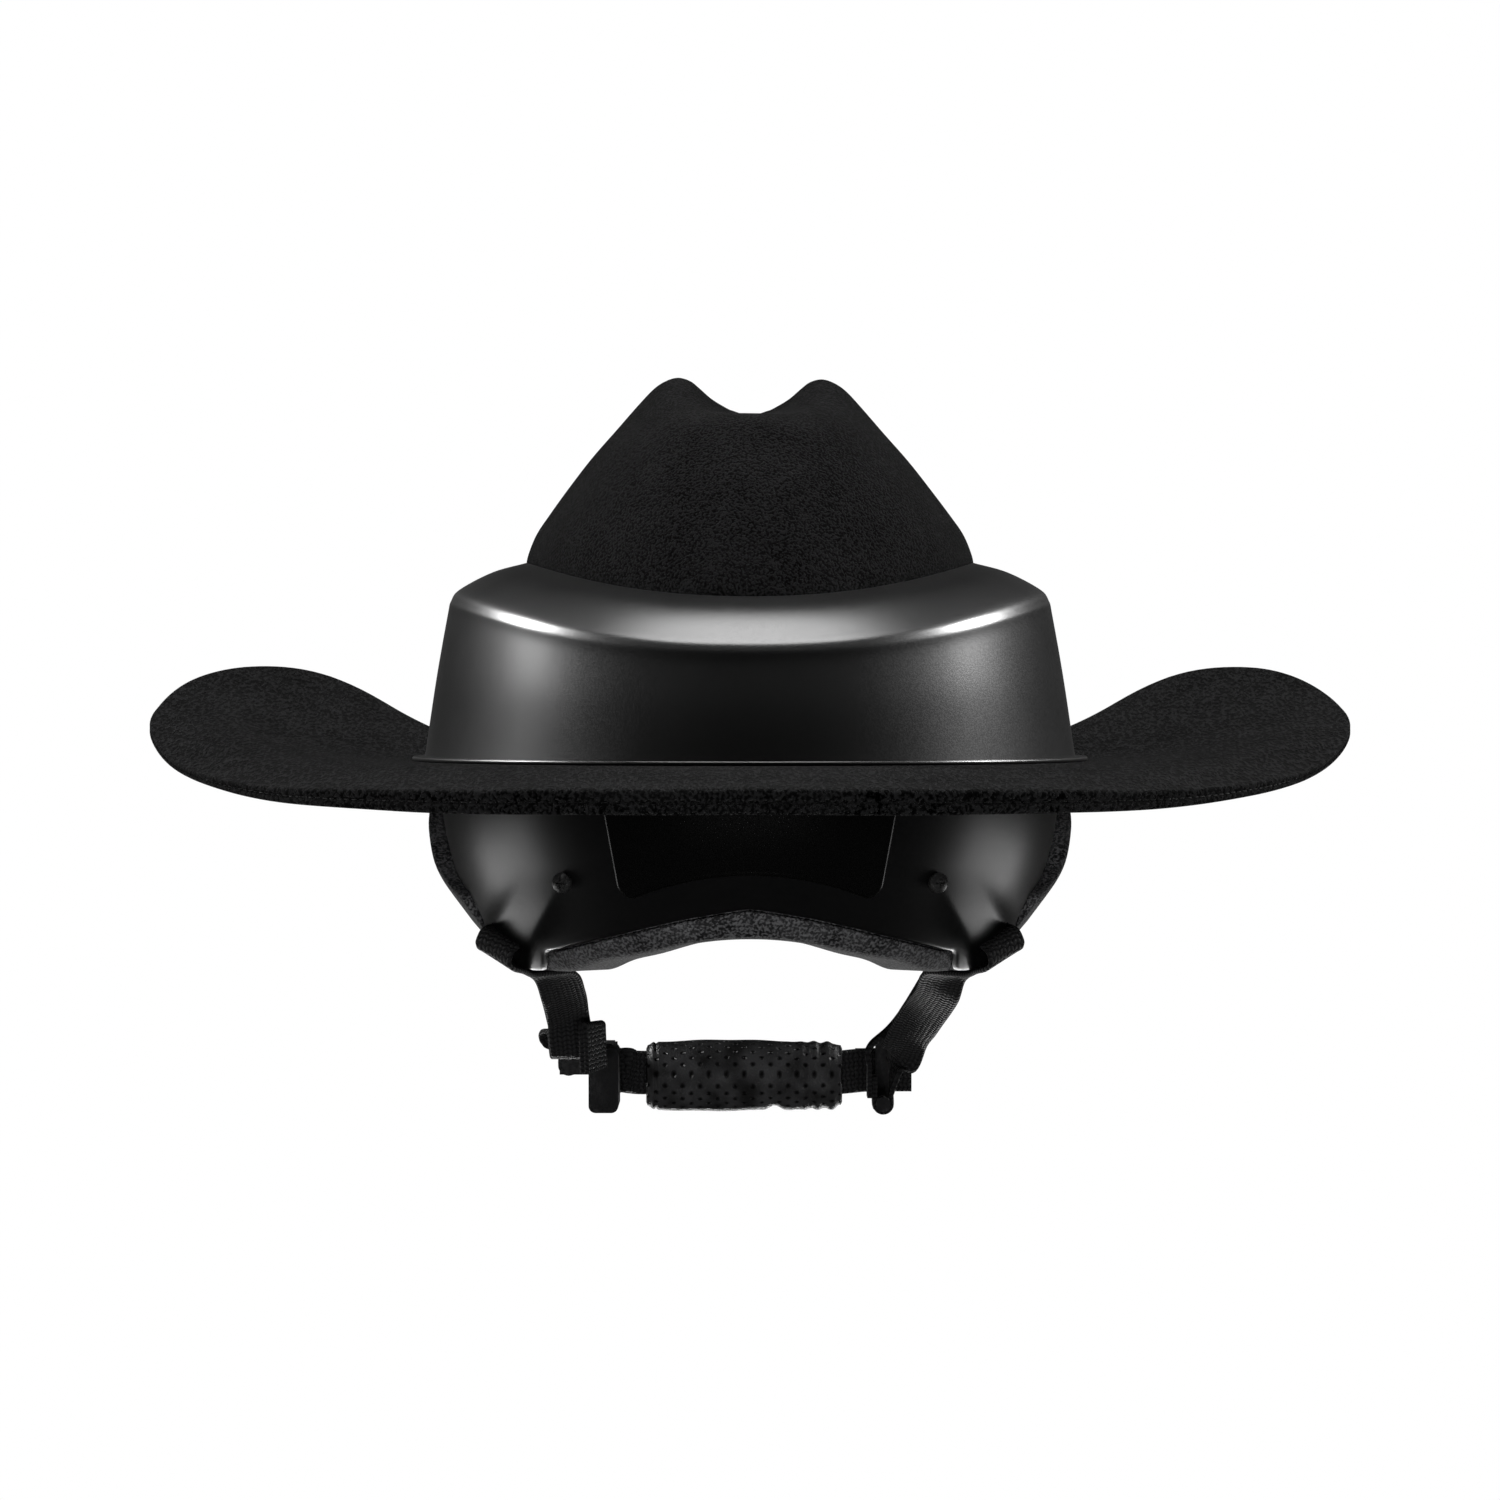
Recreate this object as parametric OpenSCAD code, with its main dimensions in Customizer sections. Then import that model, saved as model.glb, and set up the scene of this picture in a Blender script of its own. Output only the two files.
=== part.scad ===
// Western hat helmet: a protective riding helmet dressed as a creased felt hat.
// The back of the helmet faces -Y, the wearer looks along +Y and the wearer's right is +X.
// The origin is the centre of the head at the height where the brim meets the collar.

/* [Head and shell] */
// Half of the shell's width at the brim
shell_half_w = 103; // [98:1:106]
// Half of the shell's length at the brim
shell_half_l = 120; // [116:1:124]
// Height of the shell's dome above the brim
dome_h = 105; // [98:1:109]
// Wall of the moulded shell
shell_wall = 3; // [2:0.5:4]
// Height of the shell's lower edge at the middle of the nape, below the brim
nape_drop = 45; // [40:1:50]
// Depth of the shell's lower edge at the brow
brow_drop = 13; // [12:0.5:16]
// Depth of the strap lobes below the brim
lobe_drop = 67; // [62:1:70]
// How far the lobes stand out from the shell
lobe_bulge = 4; // [2:0.5:6]

/* [Liner and pads] */
// Thickness of the foam liner at the sides
foam_side = 20; // [14:1:24]
// Thickness of the foam liner at the brow and the nape
foam_end = 18; // [14:1:22]
// Thickness of the foam liner at the top
foam_top = 17; // [12:1:22]
// How far the foam shows below the shell
foam_show = 10; // [6:1:12]
// How far the foam edge stands out beyond the shell at the ears
foam_lip = 6; // [2:0.5:7]
// Thickness of the comfort pads
pad_t = 6; // [4:0.5:9]
// Height of the brow pad's lower edge, from the head's centre
brow_pad_low = -8; // [-12:1:0]
// Height of the brow pad's upper edge
brow_pad_high = 20; // [12:1:30]
// Height of the nape pad's lower edge
nape_pad_low = -44; // [-48:1:-36]
// Height of the nape pad's upper edge
nape_pad_high = -14; // [-24:1:-6]
// Height of the side pads' lower edge
side_pad_low = 4; // [-4:1:12]
// Height of the side pads' upper edge
side_pad_high = 34; // [24:1:44]

/* [Collar] */
// Room between the shell and the foot of the collar's outside, at the sides
collar_room_side = 4.5; // [4:0.5:8]
// Room between the shell and the foot of the collar's outside, at the back and the front
collar_room_end = 9; // [7:0.5:12]
// How far the collar leans in from its foot to its fold
collar_draft = 8.5; // [4:0.5:10]
// Height of the collar's fold at the sides
fold_side_z = 54; // [50:1:56]
// Height of the collar's fold at the back and the front
fold_end_z = 37; // [34:1:40]
// Wall of the collar
collar_wall = 2.4; // [1.8:0.2:3]
// How far the foot flange stands out
flange_out = 4.5; // [3:0.5:6]
// Thickness of the foot flange
flange_t = 1.4; // [1:0.2:2]

/* [Crown] */
// Room between the shell and the crown's felt at the collar's mouth, at the sides
mouth_room_side = 3.5; // [2.5:0.5:6]
// Room between the shell and the crown's felt at the collar's mouth, at the back and the front
mouth_room_end = 5; // [3:0.5:7]
// Height of the crown's two ridges above the shell's dome
ridge_rise = 22; // [18:1:28]
// Depth of the crease between the ridges
crease_depth = 11.5; // [6:0.5:13]
// Rise of the collar's shoulder from its fold to the crown, at the sides
shoulder_side = 11.5; // [10:0.5:14]
// Rise of the collar's shoulder from its fold to the crown, at the back and the front
shoulder_end = 16; // [13:0.5:18]
// Thickness of the felt
felt_t = 3; // [2:0.5:4]
// Depth of the two pinches at the front of the crown
pinch_depth = 7; // [0:0.5:9]

/* [Brim] */
// Half of the brim's width
brim_half_w = 198; // [180:1:206]
// Half of the brim's length
brim_half_l = 210; // [195:1:225]
// How far the brim's edge hangs at the back and the front
brim_droop = 7.5; // [2:0.5:12]
// Height of the rolled sides at their highest
brim_roll = 31.5; // [20:0.5:40]
// Thickness of the brim, felt over a stiff core
brim_t = 6.2; // [4:0.2:7]
// Width of the shell's ledge that carries the brim
ledge_w = 8; // [6:0.5:10]
// Thickness of that ledge
ledge_t = 2.5; // [2:0.5:3]

/* [Harness] */
// Width of the webbing
web_w = 15; // [13:0.5:16]
// Thickness of the webbing
web_t = 1.6; // [1.2:0.1:2]
// Height of the middle of the chin strap, below the brim
chin_drop = 106.8; // [102:0.2:112]
// Length of the chin pad
pad_len = 66; // [56:1:68]
// Height of the chin pad
pad_h = 22; // [20:0.5:26]
// Thickness of the chin pad
chin_pad_t = 13; // [10:0.5:16]

/* [Buckle] */
// Length of the buckle's socket
socket_len = 27; // [24:1:30]
// Height of the buckle's socket
socket_h = 22; // [20:0.5:24]
// Thickness of the buckle's socket
socket_t = 10; // [9:0.5:11]
// Length of the plug's centre guide
guide_len = 14; // [11:0.5:15]
// Thickness of the plug's guide and arms
guide_t = 3.6; // [3:0.2:4]

/* [Fasteners] */
// Head diameter of the rear screws
screw_head_d = 6.4; // [5:0.2:8]
// Shank diameter of the rear screws
screw_d = 3.5; // [3:0.1:4]

/* [Hidden] */

// Clearance between pieces that lie against each other
fit = 0.3;
// Radial clearance of an eye or knuckle that turns on its pin
running = 0.08;
// Roundness of the plan outlines: 2 is an ellipse, more is squarer
plan_n = 2.2;
// Angles round the helmet, counted from the middle of the back, closer together at the lobes
half_angles = [6, 14, 22, 30, 37, 42, 46, 49, 52, 55, 58, 61, 65, 70, 77, 86, 96, 107, 118, 129, 140, 151, 162, 174];
shell_angles = concat([for (b = half_angles) b - 90], [for (i = [len(half_angles) - 1:-1:0]) 270 - half_angles[i]]);
// Rows of the dome from its edge to the top
dome_rows = [0, 0.05, 0.11, 0.18, 0.27, 0.38, 0.5, 0.62, 0.74, 0.85, 0.94];

// A point of a superellipse at an angle
function oval(a, b, t, n = plan_n) = [a * sign(cos(t)) * pow(abs(cos(t)), 2 / n),
    b * sign(sin(t)) * pow(abs(sin(t)), 2 / n)];
// A smooth step from 0 to 1 between two values
function smooth(x, lo, hi) = let (u = min(1, max(0, (x - lo) / (hi - lo)))) u * u * (3 - 2 * u);
// A bell that is 1 at its middle
function bell(x, mid, wide) = exp(-pow((x - mid) / wide, 2));
// Angle away from the middle of the back, 0 to 180, the same on both sides
function from_back(t) = let (b = (t + 90 + 720) % 360) b > 180 ? 360 - b : b;

// Closed surface through rings that run round and join at both ends
module tube_of_loops(loops) {
    n = len(loops);
    m = len(loops[0]);
    pts = [for (l = loops) each l];
    polyhedron(pts, [for (i = [0:n - 1]) for (j = [0:m - 1]) let (a = i * m + j, b = i * m + (j + 1) % m,
        c = ((i + 1) % n) * m + j, d = ((i + 1) % n) * m + (j + 1) % m) each [[a, b, c], [b, d, c]]]);
}

// Bowl with a wall: rows of the outer face from the edge up, then of the inner face, each with its top
module bowl(outer, outer_top, inner, inner_top) {
    n = len(outer[0]);
    rows = concat(outer, [for (i = [len(inner) - 1:-1:0]) inner[i]]);
    k = len(outer);
    r = len(rows);
    pts = concat([for (row = rows) each row], [outer_top, inner_top]);
    band = function (i, i2) [for (j = [0:n - 1]) let (a = i * n + j, b = i * n + (j + 1) % n,
        c = i2 * n + j, d = i2 * n + (j + 1) % n) each [[a, c, b], [b, c, d]]];
    // The inner face is cut along the same diagonals as the outer, so that nested bowls stay apart
    inner_band = function (i, i2) [for (j = [0:n - 1]) let (a = i * n + j, b = i * n + (j + 1) % n,
        c = i2 * n + j, d = i2 * n + (j + 1) % n) each [[a, c, d], [a, d, b]]];
    polyhedron(pts, concat(
        [for (i = [0:k - 2]) each band(i, i + 1)],
        [for (i = [k:r - 2]) each inner_band(i, i + 1)],
        band(r - 1, 0),
        [for (j = [0:n - 1]) [(k - 1) * n + j, r * n, (k - 1) * n + (j + 1) % n]],
        [for (j = [0:n - 1]) [k * n + j, k * n + (j + 1) % n, r * n + 1]]));
}

// Slab between two grids of points of the same size, closed at its edges
module slab(face, back) {
    n = len(face);
    m = len(face[0]);
    s = n * m;
    pts = concat([for (row = face) each row], [for (row = back) each row]);
    polyhedron(pts, concat(
        [for (i = [0:n - 2]) for (j = [0:m - 2]) let (a = i * m + j) each [[a, a + 1, a + m], [a + 1, a + m + 1, a + m]]],
        [for (i = [0:n - 2]) for (j = [0:m - 2]) let (a = s + i * m + j) each [[a, a + m, a + 1], [a + 1, a + m, a + m + 1]]],
        [for (i = [0:n - 2]) let (a = i * m) each [[a, a + m, s + a], [a + m, s + a + m, s + a]]],
        [for (i = [0:n - 2]) let (a = i * m + m - 1) each [[a, s + a, a + m], [a + m, s + a, s + a + m]]],
        [for (j = [0:m - 2]) each [[j, s + j, j + 1], [j + 1, s + j, s + j + 1]]],
        [for (j = [0:m - 2]) let (a = (n - 1) * m + j) each [[a, a + 1, s + a], [a + 1, s + a + 1, s + a]]]));
}

// How round the dome is, seen from the back and from the side
side_curve = 0.7;
end_curve = 0.8;
// Radius factor of the shell at a height, at the sides and at the ends
function taper(z, h, p) = z >= 0 ? pow(max(0.0001, 1 - pow(min(1, z / h), 1.7)), p) : 1 - pow(-z / 140, 2.2);
// A point on the shell's outer form at a height and angle, set in by the given amounts
function skin(z, t, side = 0, end = 0, top = 0) = let (h = dome_h - top)
    concat(oval((shell_half_w - side) * taper(z, h, side_curve), (shell_half_l - end) * taper(z, h, end_curve), t), [z]);
// Height of the shell's lower edge: an arch over the nape, a lobe for each rear strap, then up past the ears
function edge_z(t) = let (b = from_back(t))
    -nape_drop - 14 * smooth(b, 0, 45) - (lobe_drop - nape_drop - 14) * smooth(b, 45, 50)
    + (lobe_drop - 30) * smooth(b, 56, 72) + (30 - brow_drop) * smooth(b, 72, 92);
// Height of the foam's lower edge
function foam_z(t) = let (b = from_back(t))
    -nape_drop - foam_show - 12 * smooth(b, 0, 45)
    + (nape_drop + 12 - brow_drop) * smooth(b, 60, 98);
// The lowest that the shell comes within a few degrees, which the foam's step stays under
function edge_low(t) = min(edge_z(t - 3.5), edge_z(t), edge_z(t + 3.5));
// How far a lobe stands out at a height and angle
function lobe(z, t) = lobe_bulge * bell(from_back(t), 54, 7) * smooth(-z, 22, 50);
// Foam that stands out beyond the shell's edge
function lip(t) = let (b = from_back(t)) foam_lip * smooth(b, 54, 67) * (1 - 0.6 * smooth(b, 110, 150));

// Where the collar's mouth holds the crown's foot
foot_side_z = fold_side_z + shoulder_side;
foot_end_z = fold_end_z + shoulder_end;
mouth_half_w = shell_half_w * taper(foot_side_z, dome_h, side_curve) + felt_t + mouth_room_side;
mouth_half_l = shell_half_l * taper(foot_end_z, dome_h, end_curve) + felt_t + mouth_room_end;
collar_half_w = shell_half_w + collar_room_side;
collar_half_l = shell_half_l + collar_room_end;
ridge_z = dome_h + ridge_rise;
// Height between the side's and the end's, by angle
function between(side_z, end_z, t) = end_z + (side_z - end_z) * pow(cos(t), 2);

// Felt crown with a crease along its top between two ridges
// Each row is the share of the foot's half-width and half-length, and the share of the rise at side and middle
crown_rows = [[1, 1, -0.03, -0.04], [0.985, 0.985, 0.04, 0.06], [0.945, 0.945, 0.15, 0.25], [0.892, 0.9, 0.25, 0.42],
    [0.815, 0.832, 0.38, 0.6], [0.71, 0.74, 0.55, 0.77], [0.6, 0.655, 0.72, 0.9], [0.5, 0.56, 0.86, 0.97],
    [0.42, 0.49, 0.955, 0.99], [0.36, 0.43, 0.995, 1], [0.3, 0.37, 1, 1], [0.24, 0.31, 0.96, 1],
    [0.16, 0.22, 0.88, 1], [0.08, 0.12, 0.825, 1]];
crown_step = 7.5;
module crown_cap() {
    floor_z = ridge_z - crease_depth;
    // The two pinches sit either side of the front and fade towards the foot and the ridges
    pinch = function (t, r) pinch_depth * (bell(abs(from_back(t) - 180), 42, 15)) * smooth(r[2], 0.1, 0.5) * smooth(r[1], 0.2, 0.5);
    ring = function (r, off) [for (t = [0:crown_step:359]) let (
        w = (mouth_half_w - fit) * r[0] - off, l = (mouth_half_l - fit) * r[1] - off,
        p = oval(w - pinch(t, r), l - pinch(t, r), t),
        side = foot_side_z + (ridge_z - foot_side_z) * r[2], mid = foot_end_z + (floor_z - foot_end_z) * r[3],
        k = pow(abs(cos(t)), 2 + 2 * r[2]))
        [p[0], p[1], mid + (side - mid) * k - off * smooth(r[2], 0.3, 0.95)]];
    color([0.035, 0.035, 0.04])
        bowl([for (r = crown_rows) ring(r, 0)], [0, 0, floor_z],
            [for (r = crown_rows) ring(r, felt_t)], [0, 0, floor_z - felt_t]);
}

// Satin collar: foot flange, leaning wall, rounded fold and a shoulder that rises to the crown
collar_step = 6;
module collar() {
    loop = function (t) let (
        fz = between(fold_side_z, fold_end_z, t), mz = between(foot_side_z, foot_end_z, t),
        at = function (a, b, z) concat(oval(a, b, t), [z]),
        fw = collar_half_w - collar_draft, fl = collar_half_l - collar_draft, c = collar_wall,
        mix = function (u) fw + (mouth_half_w - fw) * u, mixl = function (u) fl + (mouth_half_l - fl) * u)
        [at(collar_half_w - c, collar_half_l - c, 0),
            at(collar_half_w + flange_out, collar_half_l + flange_out, 0),
            at(collar_half_w + flange_out, collar_half_l + flange_out, flange_t),
            at(collar_half_w + 0.4, collar_half_l + 0.4, flange_t),
            at(collar_half_w - collar_draft * 0.4, collar_half_l - collar_draft * 0.4, fz * 0.5),
            at(fw + 1.4, fl + 1.4, fz - 6), at(fw + 0.2, fl + 0.2, fz - 1), at(fw - 2.8, fl - 2.8, fz + 2.8),
            at(mix(0.55), mixl(0.55), fz + (mz - fz) * 0.73), at(mix(1), mixl(1), mz),
            at(mix(1), mixl(1), mz - c), at(mix(0.55) - c * 0.5, mixl(0.55) - c * 0.5, fz + (mz - fz) * 0.73 - c),
            at(fw - 2.8 - c * 0.7, fl - 2.8 - c * 0.7, fz + 2.8 - c * 0.8), at(fw + 1.4 - c, fl + 1.4 - c, fz - 7)];
    color([0.03, 0.03, 0.032])
        difference() {
            union() {
                tube_of_loops([for (t = [0:collar_step:359]) loop(t)]);
                at_brim_screws()
                    cylinder(h = boss_h, d = 2 * (brim_screw_in - 0.5), $fn = 32);
            }
            at_brim_screws()
                translate([0, 0, -1])
                    cylinder(h = boss_h, d = brim_screw_d + 0.2, $fn = 32);
        }
}

// Felt brim: flat under the collar, drooping at the ends and rolled up at the sides
brim_step = 6;
brim_shares = [0, 0.15, 0.3, 0.47, 0.64, 0.81, 0.93, 0.985];
brim_flat = 0.15;
roll_from_back = 126;
roll_reach_back = 113;
roll_reach_front = 44;
roll_sharpness = 1.56;
// Height of the brim's edge: highest forward of the ears, lowest at the back and the front
function brim_edge_z(t) = let (d = from_back(t) - roll_from_back, reach = d < 0 ? roll_reach_back : roll_reach_front,
    lift = abs(d) < reach ? 0.5 * (1 + cos(180 * d / reach)) : 0)
    -brim_droop + (brim_roll + brim_droop) * pow(lift, roll_sharpness);
module brim() {
    at = function (r, t, drop) let (
        a0 = shell_half_w + 0.5, b0 = shell_half_l + 0.5, u = max(0, (r - brim_flat) / (1 - brim_flat)))
        concat(oval(a0 + (brim_half_w - a0) * r, b0 + (brim_half_l - b0) * r, t),
            [brim_edge_z(t) * pow(u, 1.6) - drop]);
    loop = function (t) concat(
        [for (i = [0:len(brim_shares) - 1]) at(brim_shares[i], t, brim_t)],
        [at(1, t, brim_t * 0.72), at(0.998, t, brim_t * 0.5), at(1, t, brim_t * 0.25)],
        [for (i = [len(brim_shares) - 1:-1:0]) at(brim_shares[i], t, 0)]);
    color([0.035, 0.035, 0.04])
        difference() {
            tube_of_loops([for (t = [0:brim_step:359]) loop(t)]);
            at_brim_screws()
                cylinder(h = 4 * brim_t, d = brim_screw_d + 2 * fit, center = true, $fn = 32);
        }
}

// Moulded shell: dome under the crown, ledge under the brim, arch over the nape and two strap lobes
slot_w = web_w + 1.5;
slot_h = 4.4;
slot_x = 76;
slot_z = -52;
slot_tilt = -34;
slot_turn = 55;
screw_x = 58.5;
screw_z = -37.4;
brim_screw_angles = [55, 90, 125, 235, 270, 305];
brim_screw_in = 3.4;
boss_h = 8;
brim_screw_d = 2.6;
// Depth of the shell's outside at a point seen from behind
function back_y(x, z, off = 0) = -(shell_half_l - off) * taper(z, dome_h, end_curve)
    * pow(max(0, 1 - pow(abs(x) / ((shell_half_w - off) * taper(z, dome_h, side_curve)), plan_n)), 1 / plan_n);
module shell_skin() {
    row = function (u, off) [for (t = shell_angles) let (z0 = edge_z(t), z = z0 + (dome_h - off - z0) * u,
        o = off - lobe(z, t)) skin(z, t, o, o, off)];
    bowl([for (u = dome_rows) row(u, 0)], [0, 0, dome_h],
        [for (u = dome_rows) row(u, shell_wall)], [0, 0, dome_h - shell_wall]);
}
module ledge() {
    loop = function (t) let (at = function (o, z) concat(oval(shell_half_w + o, shell_half_l + o, t), [z]))
        [at(-shell_wall / 2, -brim_t - ledge_t), at(ledge_w - 1, -brim_t - ledge_t), at(ledge_w, -brim_t - ledge_t + 1),
            at(ledge_w, -brim_t), at(-shell_wall / 2, -brim_t)];
    tube_of_loops([for (t = [0:10:359]) loop(t)]);
}
module at_slots() {
    for (m = [0, 1])
        mirror([m, 0, 0])
            translate([slot_x, back_y(slot_x, slot_z) + 2, slot_z])
                rotate([0, 0, slot_turn])
                    rotate([0, slot_tilt, 0])
                        children();
}
module helmet_shell() {
    color([0.03, 0.03, 0.032])
        difference() {
            union() {
                shell_skin();
                ledge();
            }
            at_slots() cube([slot_w, 24, slot_h], center = true);
            at_screws()
                cylinder(h = 30, d = screw_d + 2 * fit, center = true, $fn = 32);
            at_brim_screws()
                translate([0, 0, -brim_t - ledge_t - 1])
                    cylinder(h = ledge_t + 2, d = brim_screw_d + 2 * fit, $fn = 32);
        }
}

// Bare panel over the nape: a thin plate that follows the shell, with an arched lower edge
module nape_panel() {
    plate_t = 0.8;
    grid = function (lift) [for (i = [0:5]) [for (j = [0:12]) let (
        s = -1 + j / 6, v = i / 5, low = -34.5 - 7.5 * s * s, z = -14 + (low + 14) * v,
        x = s * (46 - 6 * v - 2.5 * pow(v, 6)))
        [x, back_y(x, z) - lift, z]]];
    color([0.02, 0.02, 0.02])
        slab(grid(plate_t), grid(0.12));
}

// Foam liner: fills the shell, shows below it and stands out past its edge at the ears
module foam_liner() {
    inset = shell_wall + fit;
    row = function (u, s, e, top) [for (t = shell_angles) let (z0 = edge_z(t), z = z0 + (dome_h - top - z0) * u)
        skin(z, t, s, e, top)];
    // 1 where the foam shows below the shell, 0 where a lobe covers it
    clear = function (t) smooth(edge_low(t) - foam_z(t), 3, 7);
    under = function (lift, s) [for (t = shell_angles) let (o = inset + fit + (s - lip(t) - inset - fit) * clear(t))
        skin(foam_z(t) + lift + 2 * (1 - clear(t)), t, o, o)];
    step = function (out) [for (t = shell_angles) let (o = out ? inset - (lip(t) + inset) * clear(t) : inset,
        z = clear(t) > 0 ? edge_low(t) - fit : foam_z(t) + 4)
        skin(max(z, foam_z(t) + 2.6), t, o, o)];
    inner_low = [for (t = shell_angles) skin(foam_z(t), t, inset + foam_side, inset + foam_end)];
    color([0.07, 0.07, 0.075])
        difference() {
            bowl(concat([under(0, 2.5), under(1.5, 0.6), step(true), step(false)],
                    [for (i = [1:len(dome_rows) - 1]) row(dome_rows[i], inset, inset, inset)]),
                [0, 0, dome_h - inset],
                concat([inner_low], [for (u = [0.06, 0.15, 0.26, 0.38, 0.5, 0.62, 0.74, 0.85, 0.94])
                    row(u, inset + foam_side, inset + foam_end, inset + foam_top)]),
                [0, 0, dome_h - inset - foam_top]);
            // Pockets that let the strap loops pass behind the shell's lobes
            at_slots()
                translate([0, 9.5, -9])
                    cube([slot_w + 1.5, 22, 28], center = true);
            // Bores for the sleeve nuts and the ends of their screws
            at_screws()
                translate([0, 0, -shell_wall - insert_len - 2])
                    cylinder(h = insert_len + 6, d = screw_d + 3 + 2 * fit, $fn = 32);
        }
}

// A comfort pad that lies on the liner's inside over a span of angles and heights
module liner_pad(t0, t1, z0, z1, cols) {
    off = shell_wall + 2 * fit;
    grid = function (d, trim) [for (i = [0:3]) [for (j = [0:cols]) let (
        t = t0 + trim / 2 + (t1 - t0 - trim) * j / cols, z = z1 - trim / 3 + (z0 - z1 + trim * 2 / 3) * i / 3)
        skin(z, t, off + foam_side + d, off + foam_end + d, off + foam_top + d)]];
    slab(grid(pad_t, 3), grid(0.9, 0));
}
module brow_pad() color([0.05, 0.05, 0.055]) liner_pad(150, 30, brow_pad_low, brow_pad_high, 14);
module nape_pad() color([0.05, 0.05, 0.055]) liner_pad(-60, -120, nape_pad_low, nape_pad_high, 8);
module side_pad_right() color([0.05, 0.05, 0.055]) liner_pad(22, -22, side_pad_low, side_pad_high, 6);
module side_pad_left() color([0.05, 0.05, 0.055]) mirror([1, 0, 0]) side_pad_right();
module crown_pad() {
    off = shell_wall + 2 * fit;
    ring = function (z, d) [for (t = [0:15:359]) skin(z - d, t, off + foam_side, off + foam_end, off + foam_top + 1.6)];
    top = dome_h - off - foam_top - 1.6;
    color([0.05, 0.05, 0.055])
        bowl([for (k = [0.84, 0.9, 0.95, 0.98]) ring(top * k, 0)], [0, 0, top],
            [for (k = [0.84, 0.9, 0.95, 0.98]) [for (q = ring(top * k, 0)) [q[0] * 0.9, q[1] * 0.9, q[2] - pad_t]]],
            [0, 0, top - pad_t]);
}

// Rear screws with domed cross heads, and the sleeve nuts that they turn into
module at_screws() {
    for (m = [0, 1])
        mirror([m, 0, 0])
            translate([screw_x, back_y(screw_x, screw_z), screw_z])
                rotate([0, 0, 28])
                    rotate([90, 0, 0])
                        children();
}
screw_head_h = 2.4;
insert_len = 7;
module rear_screws() {
    head_seat = 1.1;
    color([0.06, 0.06, 0.06])
        at_screws()
            difference() {
                union() {
                    translate([0, 0, head_seat])
                        intersection() {
                            cylinder(h = screw_head_h, d = screw_head_d, $fn = 32);
                            translate([0, 0, screw_head_h - screw_head_d * 0.9])
                                sphere(d = screw_head_d * 1.8, $fn = 32);
                        }
                    translate([0, 0, -shell_wall - insert_len])
                        cylinder(h = shell_wall + insert_len + head_seat, d = screw_d, $fn = 32);
                }
                for (a = [0, 90])
                    rotate([0, 0, a])
                        translate([0, 0, head_seat + screw_head_h])
                            cube([screw_head_d * 0.55, 0.7, 2.2], center = true);
            }
}
module rear_inserts() {
    color("silver")
        at_screws()
            translate([0, 0, -shell_wall - insert_len - 1.6])
                difference() {
                    cylinder(h = insert_len, d = screw_d + 3, $fn = 32);
                    translate([0, 0, -1])
                        cylinder(h = insert_len + 2, d = screw_d + 0.2, $fn = 32);
                }
}

// Screws that come up through the ledge and the brim into the collar's foot
module at_brim_screws() {
    for (t = brim_screw_angles)
        translate(concat(oval(shell_half_w + brim_screw_in, shell_half_l + brim_screw_in, t), [0]))
            children();
}
module brim_screws() {
    head_h = 1.8;
    color("dimgray")
        at_brim_screws()
            translate([0, 0, -brim_t - ledge_t - head_h]) {
                cylinder(h = head_h, d = brim_screw_d * 1.9, $fn = 32);
                cylinder(h = head_h + ledge_t + brim_t + boss_h - 2, d = brim_screw_d, $fn = 32);
            }
}

// Webbing: a flat band through stations, each a middle point and the direction of its width
function unit(v) = v / norm(v);
module ribbon(stations, w = web_w, t = web_t) {
    n = len(stations);
    pts = [for (i = [0:n - 1]) let (
        p = stations[i][0], along = unit(stations[min(n - 1, i + 1)][0] - stations[max(0, i - 1)][0]),
        d0 = stations[i][1], d = unit(d0 - along * (d0 * along)), k = cross(along, d))
        each [p + d * w / 2 + k * t / 2, p - d * w / 2 + k * t / 2, p - d * w / 2 - k * t / 2, p + d * w / 2 - k * t / 2]];
    polyhedron(pts, concat([[0, 1, 3], [1, 2, 3]],
        [for (i = [0:n - 2]) for (j = [0:3]) let (a = 4 * i + j, b = 4 * i + (j + 1) % 4) each [[a, a + 4, b], [b, a + 4, b + 4]]],
        [let (a = 4 * (n - 1)) [a, a + 3, a + 1], let (a = 4 * (n - 1)) [a + 1, a + 3, a + 2]]));
}

// Places of the harness
buckle_x = -49.3;
socket_y = 14;
mouth_y = socket_y + socket_len;
bar_d = 3.4;
plug_face = mouth_y + 0.6;
plug_body_l = 5.2;
plug_bar_y = plug_face + plug_body_l + 0.6 + bar_d / 2 + running + web_t;
chin_y = plug_bar_y - bar_d / 2 - running - web_t / 2;
chin_z = -chin_drop;
buckle_z = chin_z - 1.2;
hinge_d = 4.4;
hinge_x = 45;
hinge_y = chin_y - hinge_d / 2 - running - web_t / 2;
hanger_arm = 3;
hanger_half = web_w / 2 + 0.6;
hang_z = chin_z - hanger_half - bar_d / 2;
ear_x = -61;
ear_z = -103;

// A point given in a slot's own directions: along it, through the shell, and up
function from_slot(u, v, w) = let (
    x1 = u * cos(slot_tilt) + w * sin(slot_tilt), z1 = -u * sin(slot_tilt) + w * cos(slot_tilt),
    x2 = x1 * cos(slot_turn) - v * sin(slot_turn), y2 = x1 * sin(slot_turn) + v * cos(slot_turn))
    [slot_x + x2, back_y(slot_x, slot_z) + 2 + y2, slot_z + z1];
slot_dir = from_slot(1, 0, 0) - from_slot(0, 0, 0);
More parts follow.
